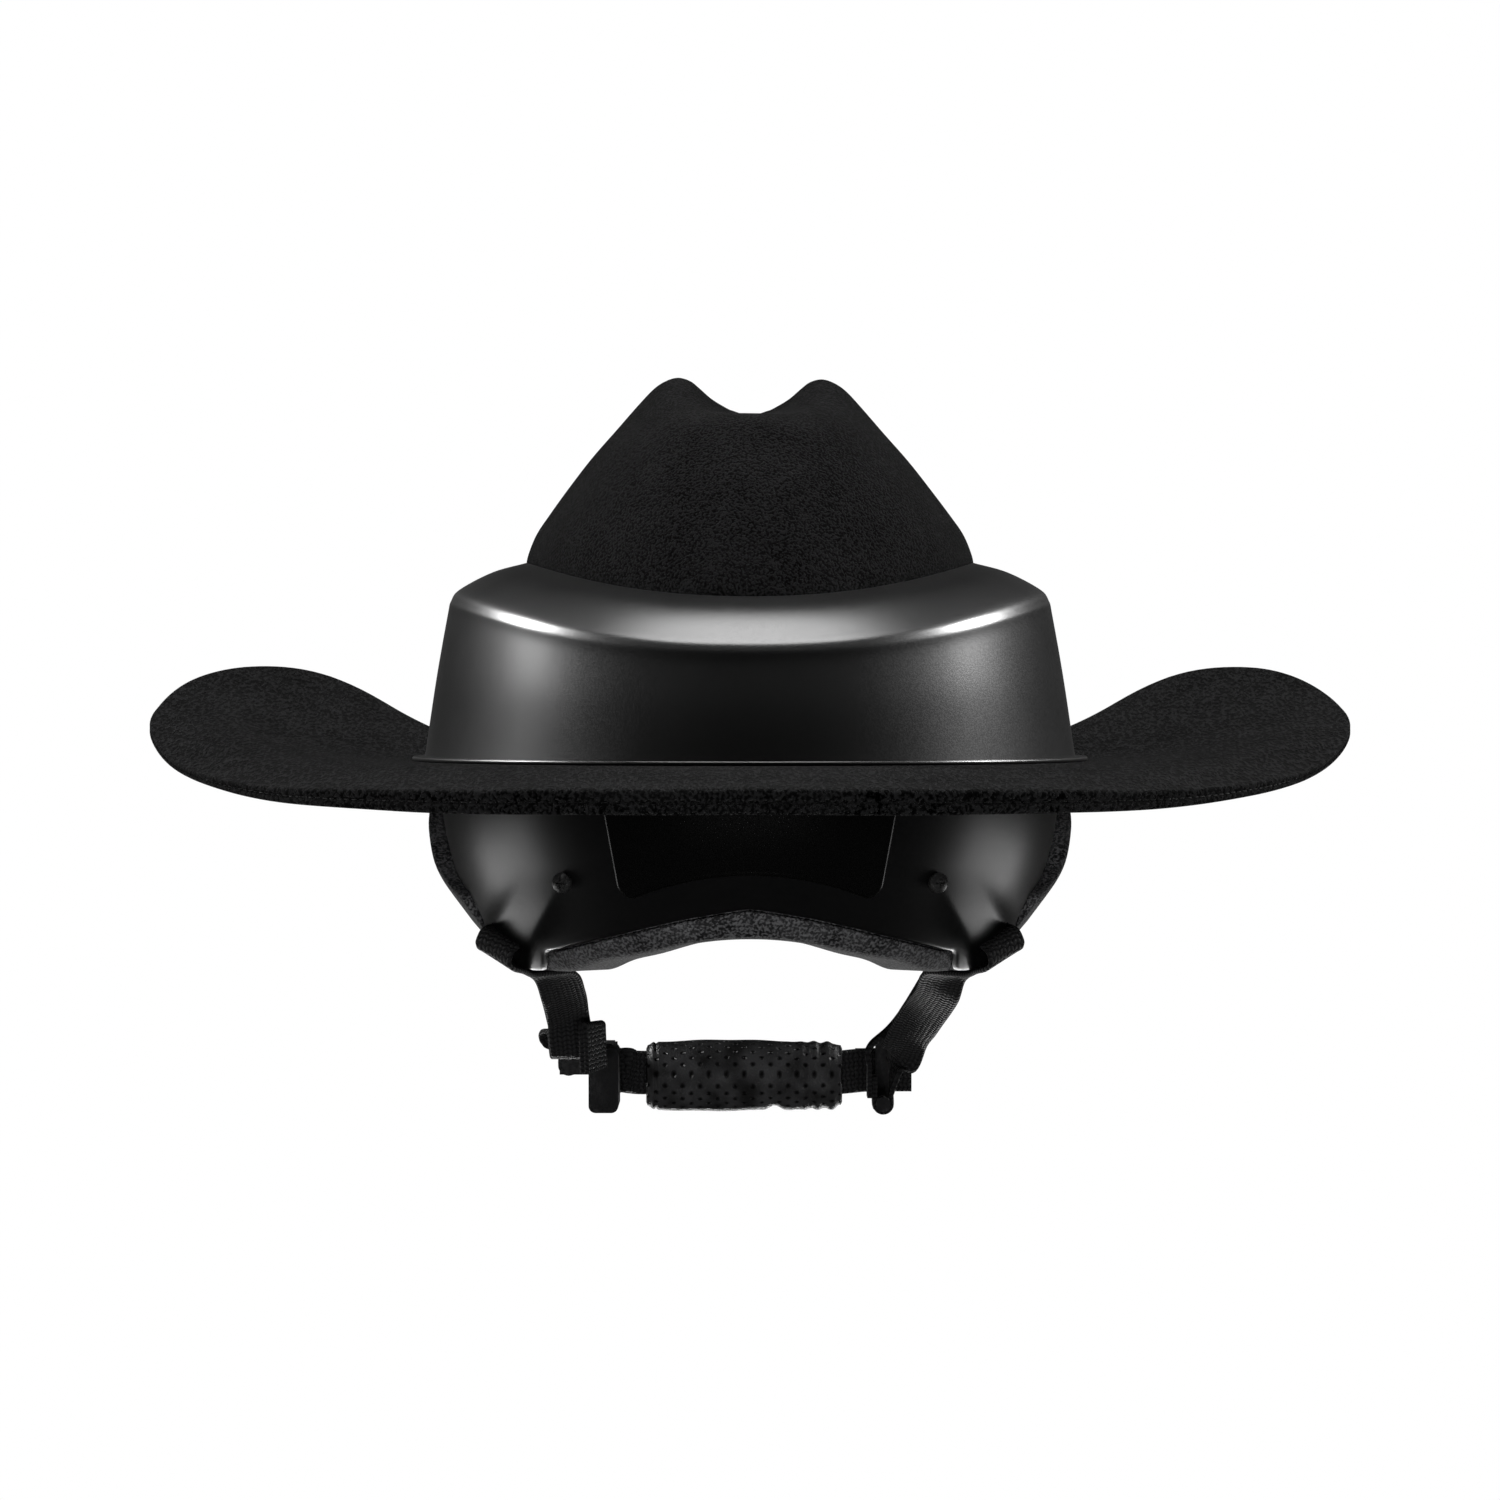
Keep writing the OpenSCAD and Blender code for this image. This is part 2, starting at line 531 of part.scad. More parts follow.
// The loop round the shell's edge, in through the slot and out below
slot_loop = [for (q = [[3.6, 0.6], [0.5, 0.2], [-3.5, 0], [-6.6, -0.3], [-8.2, -2], [-8.4, -5], [-8.2, -9], [-6, -12.5], [-2, -14]])
    [from_slot(0, q[0], q[1]), slot_dir]];
// A U of webbing under a bar that lies along Y
function under_bar(x, y, z, r, from, to, steps) = [for (i = [0:steps]) let (a = from + (to - from) * i / steps)
    [[x + r * cos(a), y, z + r * sin(a)], [0, -1, 0]]];
loop_r = bar_d / 2 + 0.3 + web_t / 2;
// Each strap's own way from the lobe to its loop: face-on behind the ear, turning edge-on lower down
way_top = [[71, -38, -67.5], [0.75, 0.45, -0.1]];
way_middle = [[64, -20, -76.5], [0.93, -0.1, -0.34]];
way_right = [[[57, 0, -86], [0.88, -0.4, -0.25]], [[51.5, 17, -95.5], [0.5, -0.85, -0.1]]];
way_left = [[[60.5, -4, -85], [0.8, -0.6, -0.2]]];
module rear_strap(way, b) {
    color([0.04, 0.04, 0.04])
        ribbon(concat(slot_loop, [way_top, way_middle], way,
            [[b + [loop_r + 0.9, -3, 11], [0.2, -1, 0]], [b + [loop_r + 0.1, 0, 5], [0, -1, 0]]],
            under_bar(b[0], b[1], b[2], loop_r, 0, -180, 6),
            [[b + [-loop_r, 0, 9], [0, -1, 0]]]));
}
right_loop = [hinge_x, hinge_y - 15.8, hang_z];
left_loop = [-ear_x, socket_y + 9, ear_z];
module rear_strap_right() rear_strap(way_right, right_loop);
module rear_strap_left() mirror([1, 0, 0]) rear_strap(way_left, left_loop);

// Front straps, from the anchors at the temples to the rear straps' loops
anchor_t = 27;
anchor_p = concat(oval(shell_half_w - 8, shell_half_l - 8, anchor_t), [foam_z(anchor_t)]);
anchor_h = 12;
anchor_plate = 2.5;
module front_strap(b) {
    out = [cos(anchor_t), sin(anchor_t), 0];
    side = [-sin(anchor_t), cos(anchor_t), 0];
    lay = b - [loop_r + web_t + 0.15, 0, 0];
    color([0.04, 0.04, 0.04])
        ribbon(concat(
            [for (q = [[2.7, -15], [2.7, -10], [1.6, -7.2], [0, -6.5], [-1.6, -7.2], [-2.7, -10], [-3, -16]])
                [anchor_p + q[0] * out + [0, 0, q[1]], -side]],
            [[lay + [13, 3.5, 32], [0.1, -1, 0]], [lay + [0.3, 0, 19], [0, -1, 0]],
            [lay + [0, 0, 12], [0, -1, 0]], [lay + [0, 0, 2], [0, -1, 0]]]));
}
module front_strap_right() front_strap(right_loop);
module front_strap_left() mirror([1, 0, 0]) front_strap(left_loop);
module front_anchor_right() {
    color([0.05, 0.05, 0.05])
        translate(anchor_p)
            rotate([0, 0, anchor_t])
                difference() {
                    translate([-anchor_plate / 2, -web_w / 2 - 3, -anchor_h])
                        cube([anchor_plate, web_w + 6, anchor_h]);
                    translate([-4, -web_w / 2 - 0.6, -anchor_h + 3.4])
                        cube([7, web_w + 1.2, 4]);
                }
}
module front_anchor_left() mirror([1, 0, 0]) front_anchor_right();

// Folded and stitched end of the left strap's adjuster, sewn to the strap's face
module strap_tail() {
    start = way_left[0][0];
    d = way_left[0][1];
    along = unit(left_loop + [loop_r, -3, 11] - way_middle[0]);
    face = unit(cross(along, d));
    lift = (face[1] < 0 ? 1 : -1) * (1.5 * web_t + 0.6);
    color([0.04, 0.04, 0.04])
        mirror([1, 0, 0])
            ribbon([[start + face * lift, d], [start + face * lift + along * 4 + [0, -1, -1], d],
                [[57.5, 2, -94], [1, 0, 0]], [[56.5, 3, -103], [1, 0, 0]]], web_w + 0.7, web_t * 2);
}

// Rectangle with round corners, in a plane
module rounded(w, h, r) {
    square([w, h - 2 * r], center = true);
    square([w - 2 * r, h], center = true);
    for (x = [-1, 1], y = [-1, 1])
        translate([x * (w / 2 - r), y * (h / 2 - r)])
            circle(r, $fn = 32);
}

// Hanger for the chin strap: a bar in the right strap's loop, a spine and an upright pin
module chin_hanger() {
    spine_y = -7.2;
    spine_t = 2.2;
    bar_end = right_loop[1] - hinge_y - web_w / 2 - 0.8;
    color([0.05, 0.05, 0.05])
        translate([hinge_x, hinge_y, 0]) {
            // Bar and its end stop
            translate([0, bar_end - 0.5, hang_z])
                rotate([-90, 0, 0])
                    cylinder(h = spine_y - bar_end + 1, d = bar_d, $fn = 32);
            translate([0, bar_end - 1.2, hang_z])
                rotate([-90, 0, 0])
                    cylinder(h = 1.2, d = bar_d + 1.6, $fn = 32);
            // Arms that hold the pin
            for (z = [chin_z + hanger_half, chin_z - hanger_half - hanger_arm])
                translate([-hinge_d / 2, spine_y, z]) {
                    cube([hinge_d, -spine_y, hanger_arm]);
                    translate([hinge_d / 2, -spine_y, 0])
                        cylinder(h = hanger_arm, d = hinge_d, $fn = 48);
                }
            translate([-hinge_d / 2, spine_y, chin_z - hanger_half - hanger_arm])
                cube([hinge_d, spine_t, 2 * (hanger_half + hanger_arm)]);
            translate([0, 0, chin_z - hanger_half - 1])
                cylinder(h = 2 * hanger_half + 2, d = hinge_d, $fn = 48);
        }
}

// Socket of the buckle, with the ear that the left strap loops through
channel_h = socket_h - 4;
channel_gap = 1.8;
module buckle_socket() {
    depth = guide_len + 2;
    color([0.05, 0.05, 0.05])
        translate([buckle_x, 0, buckle_z])
            difference() {
                union() {
                    translate([0, socket_y, 0])
                        rotate([-90, 0, 0])
                            linear_extrude(height = socket_len)
                                rounded(socket_t, socket_h, 2.4);
                    // Cheeks of the ear
                    for (y = [socket_y - 0.5, socket_y + 18.5 - 2])
                        translate([ear_x - buckle_x - 3, y, ear_z - buckle_z - 3])
                            cube([buckle_x - ear_x - socket_t / 2 + 4, 2, 6]);
                    translate([ear_x - buckle_x, socket_y - 0.5, ear_z - buckle_z])
                        rotate([-90, 0, 0])
                            cylinder(h = 18.5, d = bar_d, $fn = 32);
                }
                // Channel for the plug, wider on the side that the arc of the strap swings through
                translate([-guide_t / 2 - channel_gap, mouth_y - depth, -channel_h / 2])
                    cube([guide_t + channel_gap + fit, depth + 1, channel_h]);
                // Windows for the two release arms
                translate([-guide_t / 2 - 0.6, mouth_y - guide_len + 0.5, -socket_h])
                    cube([guide_t + 1.2, 8, 2 * socket_h]);
            }
}

// Plug: frame with a bar for the webbing, centre guide, and seats for the arms
arm_z = 5.6;
arm_t = 2.4;
knuckle_d = 3;
module buckle_plug() {
    half = web_w / 2 + 0.5 + chin_z - buckle_z;
    cheek_t = socket_h / 2 - half;
    color([0.05, 0.05, 0.05])
        translate([buckle_x, 0, buckle_z]) {
            difference() {
                translate([-4, plug_face, -socket_h / 2])
                    cube([8, plug_body_l, socket_h]);
                for (s = [-1, 1])
                    translate([-6, plug_face + 2.4, s * arm_z]) {
                        rotate([0, 90, 0])
                            cylinder(h = 12, d = knuckle_d + 2 * running, $fn = 32);
                        translate([0, -4, -arm_t / 2 - 0.7])
                            cube([12, 4, arm_t + 1.4]);
                    }
            }
            translate([-guide_t / 2, plug_face - guide_len, -2.8])
                cube([guide_t, guide_len + 1, 5.6]);
            for (s = [-1, 1])
                translate([-3, plug_face + plug_body_l - 1, s * (half + cheek_t / 2) - cheek_t / 2])
                    cube([6, plug_bar_y - plug_face - plug_body_l + 1 + bar_d / 2 + 0.8, cheek_t]);
            translate([0, plug_bar_y, -half - 1])
                cylinder(h = 2 * half + 2, d = bar_d, $fn = 32);
        }
}
module release_arm(s) {
    reach = guide_len - 1;
    color([0.05, 0.05, 0.05])
        translate([buckle_x, plug_face + 2.4, buckle_z + s * arm_z]) {
            translate([-guide_t / 2, 0, 0])
                rotate([0, 90, 0])
                    cylinder(h = guide_t, d = knuckle_d, $fn = 32);
            translate([-guide_t / 2, -reach, -arm_t / 2])
                cube([guide_t, reach, arm_t]);
            translate([-guide_t / 2, -reach, s > 0 ? 0 : -arm_t / 2 - 1.6])
                cube([guide_t, 4, arm_t / 2 + 1.6]);
        }
}
module release_arm_upper() release_arm(1);
module release_arm_lower() release_arm(-1);

// Chin strap: webbing with an eye on the plug's bar, an eye on the hanger's pin and a cut tail
tail_x = 55.3;
module chin_strap() {
    eye = function (d) d / 2 + running;
    color([0.04, 0.04, 0.04])
        translate([0, 0, chin_z - web_w / 2])
            linear_extrude(height = web_w)
                difference() {
                    union() {
                        translate([buckle_x, chin_y - web_t / 2])
                            square([tail_x - buckle_x, web_t]);
                        translate([buckle_x, plug_bar_y])
                            circle(eye(bar_d) + web_t, $fn = 48);
                        translate([buckle_x, chin_y + web_t / 2 - 0.01])
                            square([11, web_t]);
                        translate([hinge_x, hinge_y])
                            circle(eye(hinge_d) + web_t, $fn = 48);
                        translate([hinge_x - 9, chin_y - web_t * 1.5 + 0.01])
                            square([9, web_t]);
                    }
                    translate([buckle_x, plug_bar_y])
                        circle(eye(bar_d), $fn = 48);
                    translate([hinge_x, hinge_y])
                        circle(eye(hinge_d), $fn = 48);
                }
}

// Padded sleeve that slides along the chin strap
pad_middle_x = -2;
module chin_pad() {
    color([0.03, 0.03, 0.03])
        translate([pad_middle_x - pad_len / 2, chin_y, chin_z])
            rotate([0, 90, 0])
                linear_extrude(height = pad_len)
                    difference() {
                        union() {
                            square([pad_h - chin_pad_t, chin_pad_t], center = true);
                            for (s = [-1, 1])
                                translate([s * (pad_h - chin_pad_t) / 2, 0])
                                    circle(d = chin_pad_t, $fn = 48);
                        }
                        square([web_w + 0.6, web_t + 0.6], center = true);
                    }
}

// Each piece is drawn by its name
crown_cap();
collar();
brim();
helmet_shell();
nape_panel();
foam_liner();
brow_pad();
nape_pad();
side_pad_left();
side_pad_right();
crown_pad();
rear_screws();
rear_inserts();
brim_screws();
front_anchor_left();
front_anchor_right();
rear_strap_left();
rear_strap_right();
front_strap_left();
front_strap_right();
strap_tail();
chin_hanger();
buckle_socket();
buckle_plug();
release_arm_upper();
release_arm_lower();
chin_strap();
chin_pad();
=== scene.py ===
"""Western hat helmet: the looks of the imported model, built on its fixed frame.

Lengths inside the classes are millimetres and angles are degrees, as on a drawing.
They become metres where a mesh is made.
"""

import logging
from dataclasses import dataclass, field, replace
from enum import Enum
from typing import Sequence

import bmesh
import bpy
import numpy as np
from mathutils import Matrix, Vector


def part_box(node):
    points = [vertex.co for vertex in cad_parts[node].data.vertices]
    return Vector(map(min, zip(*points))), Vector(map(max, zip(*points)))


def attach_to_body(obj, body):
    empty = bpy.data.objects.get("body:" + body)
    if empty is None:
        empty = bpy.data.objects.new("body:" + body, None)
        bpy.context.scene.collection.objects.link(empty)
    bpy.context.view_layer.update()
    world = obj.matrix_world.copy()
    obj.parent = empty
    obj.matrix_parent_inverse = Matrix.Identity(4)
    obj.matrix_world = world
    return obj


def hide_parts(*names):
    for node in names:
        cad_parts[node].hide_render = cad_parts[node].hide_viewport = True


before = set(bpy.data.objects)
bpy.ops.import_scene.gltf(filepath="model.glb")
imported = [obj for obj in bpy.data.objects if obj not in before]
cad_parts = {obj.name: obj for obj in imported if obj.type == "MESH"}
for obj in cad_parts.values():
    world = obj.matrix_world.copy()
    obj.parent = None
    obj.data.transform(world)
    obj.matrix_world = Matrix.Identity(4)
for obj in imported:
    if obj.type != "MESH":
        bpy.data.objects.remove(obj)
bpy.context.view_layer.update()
LOG = logging.getLogger("hat_helmet")
MM = 0.001
Array = np.ndarray
Pair = tuple[float, float]
Triple = tuple[float, float, float]
Colour = tuple[float, float, float, float]
Tree, Socket, Thing = bpy.types.NodeTree, bpy.types.NodeSocket, bpy.types.Object


class Body(Enum):
    """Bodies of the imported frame."""

    HELMET = "helmet"
    CHIN_STRAP = "chin_strap"
    ARM_UPPER = "arm_upper"
    ARM_LOWER = "arm_lower"
    CHIN_PAD = "chin_pad"


# Surface helpers


def smooth_step(x: Array, low: float, high: float) -> Array:
    """Step from 0 to 1 between low and high: u*u*(3 - 2u)."""
    u = np.clip((x - low) / (high - low), 0.0, 1.0)
    return u * u * (3.0 - 2.0 * u)


def bell(x: Array, middle: float, width: float) -> Array:
    """Bell that is 1 at its middle: exp(-((x - middle) / width)^2)."""
    return np.exp(-(((x - middle) / width) ** 2))


def spline(keys: Sequence, count: int) -> Array:
    """Smooth curve through key points.

    Each stretch is a cubic whose slopes are half the step between its neighbours' keys.

    Args:
        keys: key values, first axis along the curve.
        count: number of samples.

    Returns:
        The samples, count along the first axis.
    """
    keys = np.asarray(keys, float)
    last = len(keys) - 1
    s = np.linspace(0.0, last, count)
    i = np.minimum(s.astype(int), last - 1)
    u = (s - i).reshape((-1,) + (1,) * (keys.ndim - 1))
    slope = np.gradient(keys, axis=0)
    a, b, ta, tb = keys[i], keys[i + 1], slope[i], slope[i + 1]
    u2, u3 = u * u, u * u * u
    return a * (2 * u3 - 3 * u2 + 1) + ta * (u3 - 2 * u2 + u) + b * (3 * u2 - 2 * u3) + tb * (u3 - u2)


def table_curve(table: Sequence, at: Array, reach: float, count: int) -> Array:
    """Value of a table of angles and values, averaged over count places up to reach to each side."""
    keys = np.array(table)
    spread = np.linspace(-reach, reach, count).reshape((count,) + (1,) * np.ndim(at))
    return np.mean(np.interp(np.abs(at + spread), keys[:, 0], keys[:, 1]), axis=0)


def ripple(x: Array, y: Array, seed: int, waves: int = 9) -> Array:
    """Soft seeded unevenness between about -1 and 1: a mean of plane sine waves of mixed directions."""
    rng = np.random.default_rng(seed)
    total = np.zeros(np.broadcast(x, y).shape)
    for _ in range(waves):
        kx, ky, phase = rng.normal(0, 1), rng.normal(0, 1), rng.uniform(0, 2 * np.pi)
        total = total + np.sin(kx * x + ky * y + phase)
    return total / np.sqrt(waves)


def grid(*parts: Array | float) -> Array:
    """Points or map positions from their parts, spread against each other."""
    return np.stack(np.broadcast_arrays(*parts), axis=-1)


def unit(vectors: Array) -> Array:
    """Vectors of length 1 in the same directions."""
    return vectors / np.linalg.norm(vectors, axis=-1, keepdims=True)


def arc(middle: Sequence[float], radius: float, first: float, last: float, count: int) -> Array:
    """Points of a circle's arc in a plane, from one angle to another."""
    a = np.radians(np.linspace(first, last, count))
    return grid(middle[0] + radius * np.cos(a), middle[1] + radius * np.sin(a))


def quads(rows: int, columns: int, wrap: bool, start: int = 0) -> Array:
    """Faces of a grid of points.

    Args:
        rows: number of rows.
        columns: points in each row.
        wrap: whether a row's last point joins its first.
        start: index of the grid's first point.

    Returns:
        Array of four point indices for each face.
    """
    i = np.arange(rows - 1)[:, None]
    j = np.arange(columns if wrap else columns - 1)[None, :]
    k = (j + 1) % columns
    row = i * columns
    after = row + columns
    return start + grid(row + j, row + k, after + k, after + j).reshape(-1, 4)


def fan(ring: Array, pole: int) -> Array:
    """Triangles from a ring of point indices to a pole."""
    return grid(ring, np.roll(ring, -1), pole)


def place(name: str, data: bpy.types.ID) -> Thing:
    """Put a mesh, a light or a camera into the scene."""
    thing = bpy.data.objects.new(name, data)
    bpy.context.scene.collection.objects.link(thing)
    return thing


@dataclass
class Piece:
    """A mesh piece in the making.

    Its points are n by 3 in millimetres. Its faces are arrays of point indices, one for each number of corners.
    Its flat map, where it has one, is n by 2 in metres.
    """

    name: str
    points: Array
    faces: Sequence[Array]
    flat: Array | None = None

    def make(self, material: bpy.types.Material, sharp: float = 40.0) -> Thing:
        """Put the arrays into a mesh object.

        Args:
            material: finish of the whole piece.
            sharp: angle in degrees past which an edge stays sharp.

        Returns:
            The new object.
        """
        mesh = bpy.data.meshes.new(self.name)
        polygons = [face for block in self.faces for face in block.tolist()]
        mesh.from_pydata((self.points * MM).tolist(), [], polygons)
        if self.flat is not None:
            corners = np.zeros(len(mesh.loops), np.int32)
            mesh.loops.foreach_get("vertex_index", corners)
            mesh.uv_layers.new(name="Run").data.foreach_set("uv", self.flat[corners].astype(np.float32).ravel())
        work = bmesh.new()
        work.from_mesh(mesh)
        bmesh.ops.remove_doubles(work, verts=work.verts, dist=1e-7)
        bmesh.ops.recalc_face_normals(work, faces=work.faces)
        work.to_mesh(mesh)
        work.free()
        mesh.shade_smooth()
        mesh.set_sharp_from_angle(angle=np.radians(sharp))
        mesh.materials.append(material)
        return place(self.name, mesh)


def ring_piece(name: str, rings: Array) -> Piece:
    """Closed tube that runs right round, such as a collar, from its angles by profile points by 3."""
    n, m = rings.shape[:2]
    return Piece(name, rings.reshape(-1, 3), [quads(n + 1, m, True) % (n * m)])


def bowl_piece(name: str, outer: Array, outer_top: float, inner: Array, inner_top: float) -> Piece:
    """Closed bowl with a wall.

    Args:
        name: name of the piece.
        outer: rows of the outer face from the edge up, rows by angles by 3.
        outer_top: height of the outer face's top point.
        inner: rows of the inner face from the edge up.
        inner_top: height of the inner face's top point.

    Returns:
        The piece.
    """
    k, n = outer.shape[:2]
    rows = np.concatenate([outer, inner[::-1]])
    r = len(rows)
    points = np.concatenate([rows.reshape(-1, 3), [[0, 0, outer_top], [0, 0, inner_top]]])
    ring = np.arange(n)
    after, last = np.roll(ring, -1), (r - 1) * n
    edge = grid(ring + last, after + last, after, ring)
    tops = [fan(ring + (k - 1) * n, r * n), fan(ring[::-1] + k * n, r * n + 1)]
    return Piece(name, points, [quads(k, n, True), quads(r - k, n, True, k * n), edge, *tops])


def slab_piece(name: str, face: Array, back: Array) -> Piece:
    """Closed slab between two grids of the same size."""
    n, m = face.shape[:2]
    size = n * m
    index = np.arange(size).reshape(n, m)
    rim = np.concatenate([index[0, :-1], index[:-1, -1], index[-1, :0:-1], index[:0:-1, 0]])
    after = np.roll(rim, -1)
    points = np.concatenate([face.reshape(-1, 3), back.reshape(-1, 3)])
    wall = grid(rim, after, after + size, rim + size)
    return Piece(name, points, [quads(n, m, False), quads(n, m, False, size)[:, ::-1], wall])


@dataclass(frozen=True)
class Band:
    """Webbing of rounded section carried along a path."""

    width: float = 15.0
    thick: float = 1.6
    across: int = 10
    round_angle: float = 60.0

    def section(self) -> tuple[Array, Array]:
        """Half-width and half-thickness shares of the rounded section, as two closed arrays.

        The flat faces are sampled evenly and the two selvedges are round.
        """
        edge = self.thick / self.width
        u = np.linspace(-1 + edge, 1 - edge, self.across)
        a = np.radians(np.linspace(-self.round_angle, self.round_angle, 4))
        side, one = 1 - edge + edge * np.cos(a), np.ones_like(u)
        return np.concatenate([u, side, u[::-1], -side]), np.concatenate([-one, np.sin(a), one, -np.sin(a)])

    def along(self, name: str, path: Sequence, widths: Sequence, count: int = 0) -> Piece:
        """Carry the section along a path.

        Args:
            name: name of the piece.
            path: n by 3 middle points.
            widths: n by 3 directions of the width, or one for the whole path.
            count: samples of a smooth curve through the points, or 0 to take the points as they are.

        Returns:
            The piece, with its map running in metres along and across.
        """
        path = np.asarray(path, float)
        widths = np.broadcast_to(np.asarray(widths, float), path.shape)
        if count:
            path, widths = spline(path, count), spline(widths, count)
        along = unit(np.gradient(path, axis=0))
        side = unit(widths - along * np.sum(widths * along, axis=1, keepdims=True))
        face = np.cross(along, side)
        u, v = self.section()
        points = (path[:, None] + side[:, None] * (u * self.width / 2)[None, :, None]
                  + face[:, None] * (v * self.thick / 2)[None, :, None])
        n, m = points.shape[:2]
        run = np.concatenate([[0], np.cumsum(np.linalg.norm(np.diff(path, axis=0), axis=1))])
        flat = grid(run[:, None] * MM, u * self.width / 2 * MM).reshape(-1, 2)
        ends = [np.arange(m)[None, ::-1], (np.arange(m) + (n - 1) * m)[None]]
        return Piece(name, points.reshape(-1, 3), [quads(n, m, True), *ends], flat)


# Finishes


def tone(level: float, blue: float) -> Colour:
    """Near-grey colour: red and green alike, and a blue of its own."""
    return (level, level, blue, 1.0)


class Pen:
    """Writes the nodes of one tree."""

    def __init__(self, tree: Tree) -> None:
        """Start on a tree."""
        self.tree = tree

    def feed(self, node: bpy.types.Node, inputs: dict) -> None:
        """Set a node's inputs, by name or index, from values or sockets."""
        for key, value in inputs.items():
            if isinstance(value, Socket):
                self.tree.links.new(value, node.inputs[key])
            else:
                node.inputs[key].default_value = value

    def node(self, kind: str, inputs: dict | None = None, **settings: object) -> bpy.types.Node:
        """Add a node.

        Args:
            kind: name of the node type.
            inputs: values or sockets for its inputs, by name or index.
            settings: attributes of the node.

        Returns:
            The node.
        """
        made = self.tree.nodes.new(kind)
        for key, value in settings.items():
            setattr(made, key, value)
        self.feed(made, inputs or {})
        return made

    def math(self, operation: str, a: object, b: object = 0.0) -> Socket:
        """Result of a Math node."""
        return self.node("ShaderNodeMath", {0: a, 1: b}, operation=operation).outputs[0]

    def weigh(self, a: Socket, b: Socket, share: float) -> Socket:
        """Sum of two values, the first times a share and the second times the rest."""
        return self.math("ADD", self.math("MULTIPLY", a, share), self.math("MULTIPLY", b, 1 - share))

    def mix(self, share: object, low: object, high: object) -> Socket:
        """Colour between two others by a share."""
        return self.node("ShaderNodeMix", {0: share, 6: low, 7: high}, data_type="RGBA").outputs[2]

    def ramp(self, value: Socket, low: float, high: float,
             to_low: float = 0.0, to_high: float = 1.0) -> Socket:
        """Value carried from one range to another, clamped."""
        ends = {"Value": value, "From Min": low, "From Max": high, "To Min": to_low, "To Max": to_high}
        return self.node("ShaderNodeMapRange", ends).outputs[0]

    def noise(self, place: Socket, scale: object, detail: float) -> Socket:
        """Value of a noise texture."""
        return self.node("ShaderNodeTexNoise", {"Vector": place, "Scale": scale, "Detail": detail}).outputs[0]

    def place(self) -> Socket:
        """Place on the object."""
        return self.node("ShaderNodeTexCoord").outputs["Object"]

    def split(self, vector: Socket) -> Sequence[Socket]:
        """The three numbers of a vector."""
        return self.node("ShaderNodeSeparateXYZ", {0: vector}).outputs

    def run(self) -> Sequence[Socket]:
        """Metres along and across, from the Run map."""
        return self.split(self.node("ShaderNodeUVMap", uv_map="Run").outputs[0])

    def effect(self, group: Tree, given: dict[str, float]) -> Sequence[Socket]:
        """Outputs of a shared group with its inputs set."""
        return self.node("ShaderNodeGroup", given, node_tree=group).outputs

    def bump(self, height: Socket, depth_mm: float) -> Socket:
        """Normal of a bump."""
        given = {"Strength": 1.0, "Distance": depth_mm * MM, "Height": height}
        return self.node("ShaderNodeBump", given).outputs[0]

    def white_to_camera(self, other: bpy.types.Node, white: str, sink: str) -> None:
        """Finish a tree so that the camera sees clean white and every other ray sees the given node."""
        ray = self.node("ShaderNodeLightPath").outputs["Is Camera Ray"]
        seen = self.node(white, {"Color": (1, 1, 1, 1), "Strength": 1.0})
        mix = self.node("ShaderNodeMixShader", {0: ray, 1: other.outputs[0], 2: seen.outputs[0]})
        self.node(sink, {0: mix.outputs[0]})


def new_group(name: str, inputs: dict[str, float], outputs: Sequence[str]) -> tuple[Pen, dict, bpy.types.Node]:
    """Start a shader node group.

    Args:
        name: name of the group.
        inputs: names and starting values of its number inputs.
        outputs: names of its number outputs.

    Returns:
        A pen on the group, its input sockets by name, and its output node.
    """
    tree = bpy.data.node_groups.new(name, "ShaderNodeTree")
    for key, value in inputs.items():
        tree.interface.new_socket(key, in_out="INPUT", socket_type="NodeSocketFloat").default_value = value
    for key in outputs:
        tree.interface.new_socket(key, in_out="OUTPUT", socket_type="NodeSocketFloat")
    pen = Pen(tree)
    source = pen.node("NodeGroupInput")
    return pen, {key: source.outputs[key] for key in inputs}, pen.node("NodeGroupOutput")


